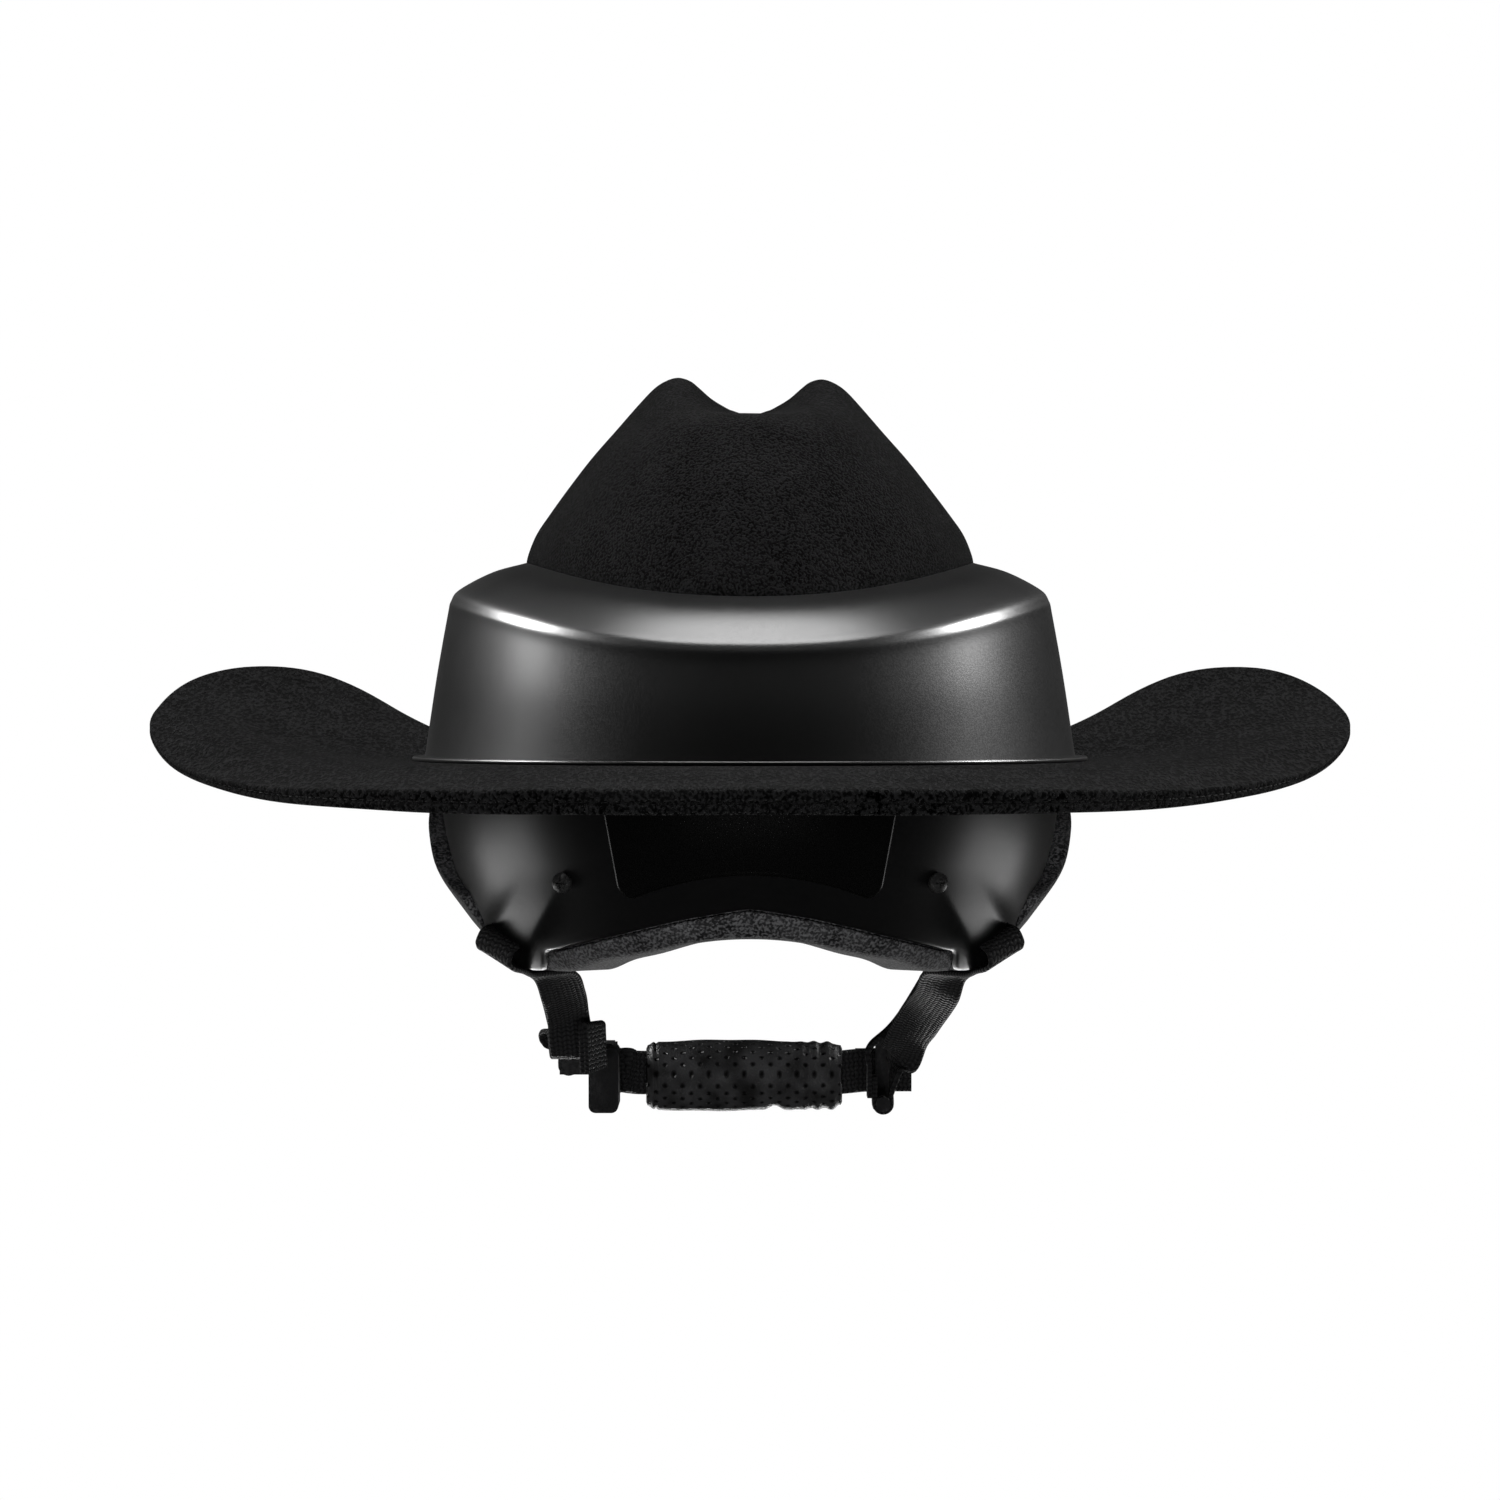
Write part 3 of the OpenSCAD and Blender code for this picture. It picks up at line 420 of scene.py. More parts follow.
class Effects:
    """Shader node groups that several finishes share."""

    def __init__(self) -> None:
        """Build each group once."""
        self.grain = self._grain()
        self.weave = self._weave()
        self.wear = self._wear()
        self.dust = self._dust()

    @staticmethod
    def _grain() -> Tree:
        """Fine speckle, drawn out along Y, and broad patches: both 0 to 1."""
        given = {"Size mm": 0.6, "Patch mm": 18.0, "Along Y": 1.0}
        pen, given, sink = new_group("fine_grain", given, ["Speckle", "Patches"])
        place = pen.place()
        x, y, z = pen.split(place)
        y = pen.math("DIVIDE", y, given["Along Y"])
        drawn = pen.node("ShaderNodeCombineXYZ", {0: x, 1: y, 2: z}).outputs[0]
        speck = pen.noise(drawn, pen.math("DIVIDE", 1000.0, given["Size mm"]), 1.0)
        patch = pen.noise(place, pen.math("DIVIDE", 1000.0, given["Patch mm"]), 2.0)
        pen.feed(sink, {"Speckle": pen.ramp(speck, 0.42, 0.6), "Patches": pen.ramp(patch, 0.35, 0.65)})
        return pen.tree

    @staticmethod
    def _weave() -> Tree:
        """Webbing weave on the Run map: ribs across that lean one way on each half of a cord.

        Height is |sin(along)|^0.6 times (0.45 + 0.55 |sin(across)|), so that each pick is a small bump.
        """
        pen, given, sink = new_group("webbing_weave", {"Rib mm": 1.5, "Cord mm": 1.2}, ["Height", "Valley"])
        run = pen.run()
        half_turn = np.pi / MM
        across = pen.math("DIVIDE", pen.math("MULTIPLY", run[1], half_turn), given["Cord mm"])
        along = pen.math("DIVIDE", pen.math("MULTIPLY", run[0], half_turn), given["Rib mm"])

        def wave(value: Socket) -> Socket:
            """Size of a value's sine."""
            return pen.math("ABSOLUTE", pen.math("SINE", value))

        zigzag = pen.math("MULTIPLY", wave(pen.math("MULTIPLY", across, 0.5)), 1.3)
        pick = pen.math("POWER", wave(pen.math("ADD", along, zigzag)), 0.6)
        cord = pen.math("ADD", pen.math("MULTIPLY", wave(across), 0.55), 0.45)
        height = pen.math("MULTIPLY", pick, cord)
        pen.feed(sink, {"Height": height, "Valley": pen.ramp(height, 0.05, 0.6, 1.0, 0.0)})
        return pen.tree

    @staticmethod
    def _wear() -> Tree:
        """Worn edges: the sharper the convex edge, the nearer Mask comes to Amount."""
        pen, given, sink = new_group("edge_wear", {"Amount": 0.5}, ["Mask"])
        edge = pen.ramp(pen.node("ShaderNodeNewGeometry").outputs["Pointiness"], 0.52, 0.62)
        broken = pen.ramp(pen.noise(pen.place(), 900.0, 2.0), 0.4, 0.6)
        pen.feed(sink, {"Mask": pen.math("MULTIPLY", pen.math("MULTIPLY", edge, broken), given["Amount"])})
        return pen.tree

    @staticmethod
    def _dust() -> Tree:
        """A little lint on faces that look up: sparse specks times the normal's height."""
        pen, given, sink = new_group("lint", {"Amount": 0.3}, ["Mask"])
        speck = pen.ramp(pen.noise(pen.place(), 2600.0, 1.0), 0.66, 0.76)
        up = pen.split(pen.node("ShaderNodeNewGeometry").outputs["Normal"])[2]
        mask = pen.math("MULTIPLY", speck, pen.ramp(up, -0.2, 0.8))
        pen.feed(sink, {"Mask": pen.math("MULTIPLY", mask, given["Amount"])})
        return pen.tree


def start_material(name: str) -> tuple[bpy.types.Material, Pen, bpy.types.Node]:
    """New material with a bare Principled shader."""
    made = bpy.data.materials.new(name)
    made.use_nodes = True
    return made, Pen(made.node_tree), made.node_tree.nodes["Principled BSDF"]


@dataclass(frozen=True)
class GrainFinish:
    """A finish of fine grain: felt, foam, cloth, plastic and steel differ only in these values."""

    name: str
    dark: Colour
    light: Colour
    rough: Pair
    size_mm: float
    patch_mm: float
    bump_mm: float
    sheen: float = 0.0
    specular: float = 0.5
    wear: float = 0.0
    lint: float = 0.0
    along_y: float = 1.0
    metallic: float = 0.0

    def make(self, effects: Effects) -> bpy.types.Material:
        """Build the material from its grain, edge wear and lint."""
        made, pen, shader = start_material(self.name)
        given = {"Size mm": self.size_mm, "Patch mm": self.patch_mm, "Along Y": self.along_y}
        grain = pen.effect(effects.grain, given)
        share = pen.weigh(grain["Speckle"], grain["Patches"], 0.75)
        colour = pen.mix(share, self.dark, self.light)
        pale = (*(min(1.0, 4 * c + 0.03) for c in self.light[:3]), 1.0)
        for amount, group in ((self.wear, effects.wear), (self.lint, effects.dust)):
            if amount:
                colour = pen.mix(pen.effect(group, {"Amount": amount})["Mask"], colour, pale)
        pen.feed(shader, {
            "Base Color": colour, "Roughness": pen.ramp(share, 0.0, 1.0, *self.rough),
            "Normal": pen.bump(grain["Speckle"], self.bump_mm), "Metallic": self.metallic,
            "Sheen Weight": self.sheen, "Sheen Roughness": 0.45, "Specular IOR Level": self.specular})
        return made


@dataclass(frozen=True)
class WebbingFinish:
    """Woven polyester webbing."""

    name: str = "woven_webbing"
    # Painted shade and highlight: dark is painted into the weave's valleys, light onto its raised picks.
    dark: Colour = tone(0.0012, 0.0013)
    light: Colour = tone(0.016, 0.0165)
    rough: Pair = (0.55, 0.95)
    rib_mm: float = 1.5
    cord_mm: float = 1.5
    bump_mm: float = 0.5
    sheen: float = 0.02
    specular: float = 0.12

    def make(self, effects: Effects) -> bpy.types.Material:
        """Build the material from the weave and the grain; the colour follows the weave's height: painted
        highlight on the picks, painted shade in the valleys.
        """
        made, pen, shader = start_material(self.name)
        weave = pen.effect(effects.weave, {"Rib mm": self.rib_mm, "Cord mm": self.cord_mm})
        share = pen.weigh(weave["Height"], pen.effect(effects.grain, {"Size mm": 0.3})["Speckle"], 0.8)
        pen.feed(shader, {
            # Painted highlight and shade: the colour is lighter on the weave's raised picks and darker in its
            # valleys.
            "Base Color": pen.mix(share, self.dark, self.light),
            "Roughness": pen.ramp(weave["Valley"], 0.0, 1.0, *self.rough),
            "Normal": pen.bump(weave["Height"], self.bump_mm),
            "Sheen Weight": self.sheen, "Specular IOR Level": self.specular})
        return made


@dataclass(frozen=True)
class LeatheretteFinish:
    """Soft black leatherette with a staggered pattern of small dimples on the Run map, with painted shade in
    each dimple.
    """

    name: str = "perforated_leatherette"
    dark: Colour = tone(0.006, 0.006)
    light: Colour = tone(0.03, 0.031)
    # Painted shade: the dark colour painted into the middle of each dimple.
    pit_shade: Colour = tone(0.0012, 0.0012)
    rough: Pair = (0.4, 0.56)
    pitch_mm: float = 6.0
    row_mm: float = 2.9
    dimple_mm: float = 0.66
    bump_mm: float = 0.7

    def make(self, effects: Effects) -> bpy.types.Material:
        """Build the material: dimples from the distance to the nearest point of a staggered grid, each painted
        darker in its middle as painted shade.
        """
        made, pen, shader = start_material(self.name)
        run = pen.run()
        row = pen.math("DIVIDE", run[1], self.row_mm * MM)
        row_floor = pen.math("FLOOR", row)
        odd = pen.math("MODULO", pen.math("ABSOLUTE", row_floor), 2.0)
        column = pen.math("ADD", pen.math("DIVIDE", run[0], self.pitch_mm * MM), pen.math("MULTIPLY", odd, 0.5))
        x, y = pen.math("FRACT", column), pen.math("SUBTRACT", row, row_floor)
        steps = ((x, self.pitch_mm), (y, self.row_mm))
        dx, dy = (pen.math("MULTIPLY", pen.math("SUBTRACT", share, 0.5), step) for share, step in steps)
        far = pen.math("SQRT", pen.math("ADD", pen.math("MULTIPLY", dx, dx), pen.math("MULTIPLY", dy, dy)))
        dimple = pen.ramp(far, self.dimple_mm * 0.5, self.dimple_mm * 1.5, 1.0, 0.0)
        grain = pen.effect(effects.grain, {"Size mm": 0.7, "Patch mm": 9.0})
        colour = pen.mix(grain["Patches"], self.dark, self.light)
        height = pen.math("SUBTRACT", pen.math("MULTIPLY", grain["Speckle"], 0.08), dimple)
        pen.feed(shader, {
            # Each dimple's middle is painted dark: painted shade in the recess, on top of its bump.
            "Base Color": pen.mix(dimple, colour, self.pit_shade),
            "Roughness": pen.ramp(grain["Speckle"], 0.0, 1.0, *self.rough),
            "Normal": pen.bump(height, self.bump_mm)})
        return made


@dataclass(frozen=True)
class Finish:
    """A built material and the record's slot that it fills."""

    material: bpy.types.Material
    slot: str


FELT = GrainFinish("crown_felt", tone(0.0001, 0.0001), tone(0.0125, 0.0129), (0.95, 1.0), 0.8, 14.0, 0.7,
                   sheen=0.02, specular=0.02, lint=0.12)
LOOKS = {
    "crown": ("crown_felt", FELT),
    "brim": ("brim_felt", replace(FELT, name="brim_felt", dark=tone(0.0, 0.0), size_mm=1.1, along_y=5.0)),
    "satin": ("satin_shell", GrainFinish(
        "satin_plastic", tone(0.0015, 0.0016), tone(0.003, 0.0031), (0.3, 0.36), 0.5, 30.0, 0.004, wear=0.05)),
    "panel": ("panel", GrainFinish(
        "panel_gloss", tone(0.0005, 0.0005), tone(0.001, 0.001), (0.24, 0.32), 0.5, 20.0, 0.002, specular=0.4)),
    "foam": ("foam", GrainFinish(
        "liner_foam", tone(0.006, 0.0064), tone(0.1, 0.103), (0.8, 0.95), 0.9, 12.0, 0.3, specular=0.35)),
    "cloth": ("pad_cloth", GrainFinish(
        "pad_cloth", tone(0.005, 0.0055), tone(0.02, 0.021), (0.85, 1.0), 0.7, 20.0, 0.15, sheen=0.3)),
    "plastic": ("buckle_plastic", GrainFinish(
        "buckle_plastic", tone(0.004, 0.0042), tone(0.011, 0.0115), (0.42, 0.6), 0.45, 10.0, 0.02, wear=0.15)),
    "black_steel": ("screw_black", GrainFinish(
        "black_screw", tone(0.008, 0.008), tone(0.02, 0.02), (0.25, 0.45), 0.4, 6.0, 0.01, wear=0.6)),
    "steel": ("insert_steel", GrainFinish(
        "plain_steel", tone(0.4, 0.41), tone(0.6, 0.61), (0.25, 0.45), 0.4, 6.0, 0.01, wear=0.2, metallic=1.0)),
    "thread": ("webbing", GrainFinish(
        "thread", tone(0.0008, 0.0008), tone(0.003, 0.0031), (0.7, 0.9), 0.25, 6.0, 0.05, sheen=0.2)),
    "webbing": ("webbing", WebbingFinish()),
    "leatherette": ("leatherette", LeatheretteFinish()),
}


def make_finishes() -> dict[str, Finish]:
    """Build every material of the helmet once."""
    effects = Effects()
    return {key: Finish(look.make(effects), slot) for key, (slot, look) in LOOKS.items()}


# Forms that several pieces share


@dataclass(frozen=True)
class HeadForm:
    """The form that the shell, the liner and the hat's parts follow, in millimetres."""

    half_w: float = 103.0
    half_l: float = 120.0
    dome_h: float = 105.0
    nape_drop: float = 45.0
    brow_drop: float = 13.0
    wall: float = 3.0
    foam_side: float = 20.0
    foam_end: float = 18.0
    foam_top: float = 17.0
    foam_show: float = 10.0
    foam_lip: float = 5.8
    roundness: float = 2.2
    side_curve: float = 0.7
    end_curve: float = 0.8
    edge_keys: tuple = (
        (0, -45.2), (11, -48.6), (28, -54.8), (43, -59.4), (46.5, -60), (50, -65.5), (52, -67), (55.5, -67),
        (60, -64.3), (64, -61.8), (68, -59.3), (70, -57), (71, -50), (72.5, -44), (79, -39.5), (84, -34.5),
        (88, -27), (92, -19), (97, -13.5), (100, -13), (180, -13))

    def oval(self, a: Array, b: Array, t: Array) -> tuple[Array, Array]:
        """Superellipse: x = a*sign(cos t)*|cos t|^(2/n), y likewise with the sine."""
        c, s, p = np.cos(np.radians(t)), np.sin(np.radians(t)), 2 / self.roundness
        return a * np.sign(c) * np.abs(c) ** p, b * np.sign(s) * np.abs(s) ** p

    @staticmethod
    def from_back(t: Array) -> Array:
        """Angle away from the middle of the back, 0 to 180, the same on both sides."""
        b = np.mod(t + 90.0 + 720.0, 360.0)
        return np.where(b > 180.0, 360.0 - b, b)

    @staticmethod
    def taper(z: Array, h: float, p: float) -> Array:
        """Radius share at a height: (1 - (z/h)^1.7)^p above the brim, 1 - (-z/140)^2.2 below."""
        up = np.maximum(0.0001, 1 - np.minimum(1.0, np.maximum(z, 0) / h) ** 1.7) ** p
        return np.where(z >= 0, up, 1 - (np.maximum(-z, 0) / 140.0) ** 2.2)

    def halves(self, z: Array, side: Array = 0.0, end: Array = 0.0, top: float = 0.0) -> tuple[Array, Array]:
        """Half-width and half-length at heights, set in by the given amounts."""
        h = self.dome_h - top
        wide, long = self.taper(z, h, self.side_curve), self.taper(z, h, self.end_curve)
        return (self.half_w - side) * wide, (self.half_l - end) * long

    def skin(self, z: Array, t: Array, side: Array = 0.0, end: Array = 0.0, top: float = 0.0) -> Array:
        """Points of the outer form at heights and angles, set in by the given amounts."""
        return grid(*self.oval(*self.halves(z, side, end, top), t), z)

    def edge_z(self, t: Array) -> Array:
        """Height of the shell's lower edge, from its table."""
        return table_curve(self.edge_keys, self.from_back(t), 1.1, 7)

    def foam_z(self, t: Array) -> Array:
        """Height of the foam's lower edge: a sum of steps and one low swell over the angle from the back."""
        b = self.from_back(t)
        return (-self.nape_drop - self.foam_show - 12 * smooth_step(b, 0, 45) + 1.5 * bell(b, 32, 8)
                + 9 * smooth_step(b, 60, 80) + (self.nape_drop + 3 - self.brow_drop) * smooth_step(b, 85, 108))

    def back_y(self, x: Array, z: Array) -> Array:
        """Depth of the shell's outside at a point seen from behind."""
        half_w, half_l = self.halves(z)
        return -half_l * np.maximum(0, 1 - (np.abs(x) / half_w) ** self.roundness) ** (1 / self.roundness)


FORM = HeadForm()


def attach(thing: Thing, body: Body, nodes: Sequence[str]) -> Thing:
    """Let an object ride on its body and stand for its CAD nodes."""
    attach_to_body(thing, body.value)
    if nodes:
        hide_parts(*nodes)
    LOG.info("%s: %d faces on %s", thing.name, len(thing.data.polygons), body.value)
    return thing


def finish_piece(piece: Piece, finish: Finish, *nodes: str, body: Body = Body.HELMET, sharp: float = 40.0,
                 give: float = 0.0) -> Thing:
    """Make a piece, let it ride on its body and stand for its CAD nodes.

    Args:
        piece: the piece to make.
        finish: its finish.
        nodes: the CAD nodes that it stands for.
        body: the body it rides on.
        sharp: angle in degrees past which an edge stays sharp.
        give: not used; callers pass a pad's give here, or 0 where it is hard.

    Returns:
        The object.
    """
    thing = attach(piece.make(finish.material, sharp), body, nodes)
    return thing


def soften_node(node: str, finish: Finish, body: Body, bevel: float) -> Thing:
    """Copy of a CAD node with its edges rounded.

    Args:
        node: name of the CAD node.
        finish: its finish.
        body: the body it rides on.
        bevel: radius of its edges in millimetres.

    Returns:
        The object that stands for the node.
    """
    work = bmesh.new()
    work.from_mesh(bpy.data.objects[node].data)
    bmesh.ops.remove_doubles(work, verts=work.verts, dist=1e-6)
    bmesh.ops.dissolve_limit(work, angle_limit=np.radians(3), verts=work.verts, edges=work.edges)
    bmesh.ops.recalc_face_normals(work, faces=work.faces)
    mesh = bpy.data.meshes.new(f"{node}_soft")
    work.to_mesh(mesh)
    work.free()
    mesh.materials.append(finish.material)
    mesh.shade_smooth()
    thing = place(f"{node}_soft", mesh)
    edge = thing.modifiers.new("edges", "BEVEL")
    edge.width, edge.segments, edge.limit_method, edge.angle_limit = bevel * MM, 3, "ANGLE", np.radians(35)
    edge.harden_normals = True
    return attach(thing, body, [node])


def dress(node: str, finish: Finish) -> None:
    """Give a CAD node that stays its finish."""
    mesh = bpy.data.objects[node].data
    mesh.materials.clear()
    mesh.materials.append(finish.material)
    LOG.info("%s: dressed", node)


def cut_slot(thing: Thing, at: Array, way: Array, size: Sequence[float]) -> None:
    """Cut a slot right through a piece with a box that is taken away from it.

    Args:
        thing: the piece to cut.
        at: middle of the slot, in millimetres.
        way: direction of the slot's length.
        size: length, height and depth of the slot.
    """
    way = unit(way)
    up = unit(np.cross(way, unit(at * [1, 1, 0])))
    axes = np.stack([way, up, np.cross(way, up)])
    square = np.array([[-1, -1], [1, -1], [1, 1], [-1, 1]]) / 2.0
    corner = np.concatenate([np.insert(square, 2, end, axis=1) for end in (-0.5, 0.5)])
    faces = np.array([[0, 3, 2, 1], [4, 5, 6, 7], [0, 1, 5, 4], [1, 2, 6, 5], [2, 3, 7, 6], [3, 0, 4, 7]])
    cutter = Piece("slot_cutter", at + (corner * size) @ axes, [faces]).make(thing.data.materials[0])
    cut = thing.modifiers.new("slot", "BOOLEAN")
    cut.operation, cut.object, cut.solver = "DIFFERENCE", cutter, "EXACT"
    shaped = bpy.data.meshes.new_from_object(thing.evaluated_get(bpy.context.evaluated_depsgraph_get()))
    thing.modifiers.remove(cut)
    thing.data = shaped
    shaped.shade_smooth()
    shaped.set_sharp_from_angle(angle=np.radians(40))
    bpy.data.objects.remove(cutter)


@dataclass
class Hat:
    """Felt crown, satin collar and felt brim."""

    finishes: dict[str, Finish]
    collar_room: Pair = (4.5, 9.0)
    draft: float = 8.5
    fold: Pair = (54.0, 37.0)
    shoulder: Pair = (11.5, 16.0)
    wall: float = 2.4
    flange: Pair = (4.5, 1.4)
    mouth_room: Pair = (3.5, 5.0)
    ridge_z: float = 127.0
    crease: float = 12.6
    felt: float = 3.0
    pinch: float = 7.0
    brim_half: Pair = (198.0, 210.0)
    brim_keys: tuple = (
        (0, -7.6), (22, -7.4), (32, -6.8), (40, -5.9), (48, -3.8), (56, -0.7), (64, 3.5), (72, 8.9), (80, 14.2),
        (88, 18.6), (96, 23.0), (104, 26.9), (112, 29.9), (116, 31.1), (120, 31.9), (124, 31.9), (128, 31.0),
        (132, 28.6), (136, 24.6), (140, 18.9), (144, 11.6), (148, 5.2), (152, 0.3), (156, -3.3), (160, -5.6),
        (168, -7.2), (180, -7.6))
    thick: float = 6.2
    rear_rise: float = 1.6
    side_loss: float = 3.4
    unevenness: Pair = (0.35, 0.4)
    brim_edge: tuple = (
        (0.993, 0.015), (0.998, 0.05), (1.0, 0.11), (1.0, 0.2), (0.999, 0.34), (0.996, 0.44), (0.988, 0.49),
        (0.989, 0.52), (0.997, 0.57), (1.0, 0.66), (1.0, 0.77), (0.998, 0.87), (0.993, 0.94), (0.986, 0.99))
    stitches: int = 400
    stitch: Pair = (1.15, 0.34)
    groove: Pair = (0.99, 0.505)
    crown_rows: tuple = (
        (1.005, 1, -0.03, -0.04), (0.995, 0.99, 0.04, 0.06), (0.958, 0.95, 0.15, 0.25),
        (0.902, 0.905, 0.25, 0.42), (0.815, 0.835, 0.392, 0.6), (0.713, 0.742, 0.551, 0.77),
        (0.602, 0.655, 0.705, 0.9), (0.5, 0.56, 0.848, 0.965), (0.43, 0.5, 0.938, 0.98),
        (0.375, 0.44, 0.982, 0.986), (0.322, 0.39, 1, 0.986), (0.27, 0.335, 0.984, 0.988),
        (0.231, 0.29, 0.949, 0.991), (0.173, 0.22, 0.889, 0.995), (0.102, 0.14, 0.838, 1),
        (0.073, 0.1, 0.825, 1), (0.035, 0.05, 0.809, 1))
    angles: Array = field(default_factory=lambda: np.arange(0, 360, 1.5))

    def mouth(self) -> tuple[float, ...]:
        """Half-width, half-length and the two heights of the collar's mouth."""
        side_z, end_z = self.fold[0] + self.shoulder[0], self.fold[1] + self.shoulder[1]
        half_w, half_l = float(FORM.halves(side_z)[0]), float(FORM.halves(end_z)[1])
        return half_w + self.felt + self.mouth_room[0], half_l + self.felt + self.mouth_room[1], side_z, end_z

    def crown(self) -> None:
        """Crown: rows shrink from the mouth to the ridges, and the sides rise past the middle for the crease.

        A row holds its shares of the width and the length, and the rises of its side and its middle.
        """
        half_w, half_l, side_z, end_z = self.mouth()
        floor = self.ridge_z - self.crease
        wide, long, high, low = spline(self.crown_rows, 84).T[:, :, None]
        t = self.angles
        cos = np.abs(np.cos(np.radians(t)))
        pinch = (self.pinch * bell(np.abs(FORM.from_back(t) - 180), 42, 15)
                 * smooth_step(high, 0.1, 0.5) * smooth_step(long, 0.2, 0.5))
        side, middle = side_z + (self.ridge_z - side_z) * high, end_z + (floor - end_z) * low

        def face(inset: float) -> Array:
            """Rows of the felt's face, set in; only the outer one is uneven."""
            x, y = FORM.oval((half_w - 0.3) * wide - inset - pinch, (half_l - 0.3) * long - inset - pinch, t)
            z = middle + (side - middle) * cos ** (2 + 1.1 * high) - inset * smooth_step(high, 0.3, 0.95)
            outside = smooth_step(high, 0.05, 0.4) * (inset == 0)
            uneven = self.unevenness[0] * ripple(x / 22, y / 22, 4) * outside
            return grid(x, y, z + uneven)

        piece = bowl_piece("felt_crown", face(0.0), floor, face(self.felt), floor - self.felt)
        finish_piece(piece, self.finishes["crown"], "crown_cap")

    def collar(self) -> None:
        """Collar: a profile of foot flange, leaning wall, rounded fold and shoulder, carried round the oval."""
        mouth_w, mouth_l, side_z, end_z = self.mouth()
        share = np.cos(np.radians(self.angles)) ** 2
        fold_z = self.fold[1] + (self.fold[0] - self.fold[1]) * share
        mouth_z = end_z + (side_z - end_z) * share
        middle_z = fold_z + (mouth_z - fold_z) * 0.73
        foot = np.array([FORM.half_w, FORM.half_l]) + self.collar_room
        fold, mouth = foot - self.draft, np.array([mouth_w, mouth_l])
        middle = fold + (mouth - fold) * 0.55
        wall, (out, top) = self.wall, self.flange

        def key(base: Array, more: float, z: Array) -> Array:
            """Ring at a height, with the half-width and half-length of a base and more."""
            return grid(*FORM.oval(base[0] + more, base[1] + more, self.angles), z)

        flange = [
            key(foot, out - 0.3, 0), key(foot, out, 0.3), key(foot, out, top - 0.3), key(foot, out - 0.3, top)]
        outside = [
            key(foot, 0.4, top), key(foot, -self.draft * 0.4, fold_z * 0.5), key(fold, 1.4, fold_z - 6),
            key(fold, 0.2, fold_z - 1), key(fold, -2.8, fold_z + 2.8), key(middle, 0, middle_z),
            key(mouth, 0, mouth_z)]
        inside = [
            key(mouth, 0, mouth_z - wall), key(middle, -wall * 0.5, middle_z - wall),
            key(fold, -2.8 - wall * 0.7, fold_z + 2.8 - wall * 0.8), key(fold, 1.4 - wall, fold_z - 7),
            key(foot, -wall, 0)]
        profile = np.concatenate([flange, spline(outside, 60), spline(inside, 14)])
        piece = ring_piece("satin_collar", profile.transpose(1, 0, 2))
        finish_piece(piece, self.finishes["satin"], "collar", sharp=50)

    def brim_at(self, r: Array, t: Array, drop: Array) -> Array:
        """Points of the brim at a share of its reach, at an angle and below its top by drop.

        The edge is highest forward of the ears and lowest at the back and the front.
        """
        a, b = FORM.half_w + 0.5, FORM.half_l + 0.5
        x, y = FORM.oval(a + (self.brim_half[0] - a) * r, b + (self.brim_half[1] - b) * r, t)
        edge_z = table_curve(self.brim_keys, FORM.from_back(t), 4, 9)
        return grid(x, y, edge_z * np.maximum(0, (r - 0.15) / 0.85) ** 1.6 - drop)

    def brim_layers(self, t: Array) -> tuple[Array, Array, Array]:
        """How far the edge's top is lowered, the edge's thickness, and how much of it is lost from below."""
        b = FORM.from_back(t)
        rise = self.rear_rise * (1 - smooth_step(b, 8, 48))
        lost = self.side_loss * smooth_step(b, 24, 70)
        above = lost * (1 - smooth_step(b, 80, 118))
        return above - rise, self.thick - lost + rise, lost - above

    def brim(self) -> None:
        """Brim: two felt layers that part at a groove in the edge, thick at the back and thin at the sides.

        Upper face: falls near the edge by the lost thickness. Edge: undercut to the groove, then a round band.
        """
        t = self.angles[:, None]
        lowered, thick, below = self.brim_layers(t)
        reach = np.concatenate([np.linspace(0, 0.9, 40), np.linspace(0.915, 0.985, 10)])[None, :]
        edge, depth = np.array(self.brim_edge).T[:, None]
        near = smooth_step(reach, 0.72, 1.0)
        shares = np.concatenate([reach, edge, reach[:, ::-1]], axis=1)
        under = self.thick - below * near[:, ::-1]
        drops = np.concatenate([lowered * near, lowered + depth * thick, under], axis=1)
        rings = self.brim_at(shares, t, drops)
        uneven = self.unevenness[1] * ripple(rings[..., 0] / 26, rings[..., 1] / 26, 11)
        rings[..., 2] += uneven * smooth_step(shares, 0.3, 0.9)
        finish_piece(ring_piece("felt_brim", rings), self.finishes["brim"], "brim", sharp=60)

    def brim_stitches(self) -> None:
        """Stitches: short dark threads in the groove of the brim's edge, each an ellipsoid of few faces."""
        t = np.linspace(0, 360, self.stitches, endpoint=False)
        lowered, thick, _ = self.brim_layers(t)
        reach, drop = np.full(self.stitches, self.groove[0]), lowered + self.groove[1] * thick
        here, ahead = (self.brim_at(reach, t + turn, drop) for turn in (0.0, 0.2))
        along, out = unit(ahead - here), unit(here * [1, 1, 0])
        basis = np.stack([along, out, np.cross(out, along)], axis=1)
        u, v = np.linspace(-1, 1, 5)[:, None], np.radians(np.arange(0, 360, 60))
        size = self.stitch[1] * np.sqrt(np.maximum(0.08, 1 - u * u))
        local = grid(self.stitch[0] * u, size * np.cos(v), size * np.sin(v)).reshape(-1, 3)
        points = here[:, None] + np.einsum("kj,njc->nkc", local, basis)
        caps = np.array([[5, 4, 3, 2, 1, 0], [24, 25, 26, 27, 28, 29]])
        shift = (np.arange(self.stitches) * len(local))[:, None, None]
        faces = [(quads(5, 6, True) + shift).reshape(-1, 4), (caps + shift).reshape(-1, 6)]
        finish_piece(Piece("brim_stitches", points.reshape(-1, 3), faces), self.finishes["thread"])

    def build(self) -> None:
        """Make every piece of the hat."""
        for step in (self.crown, self.collar, self.brim, self.brim_stitches):
            step()


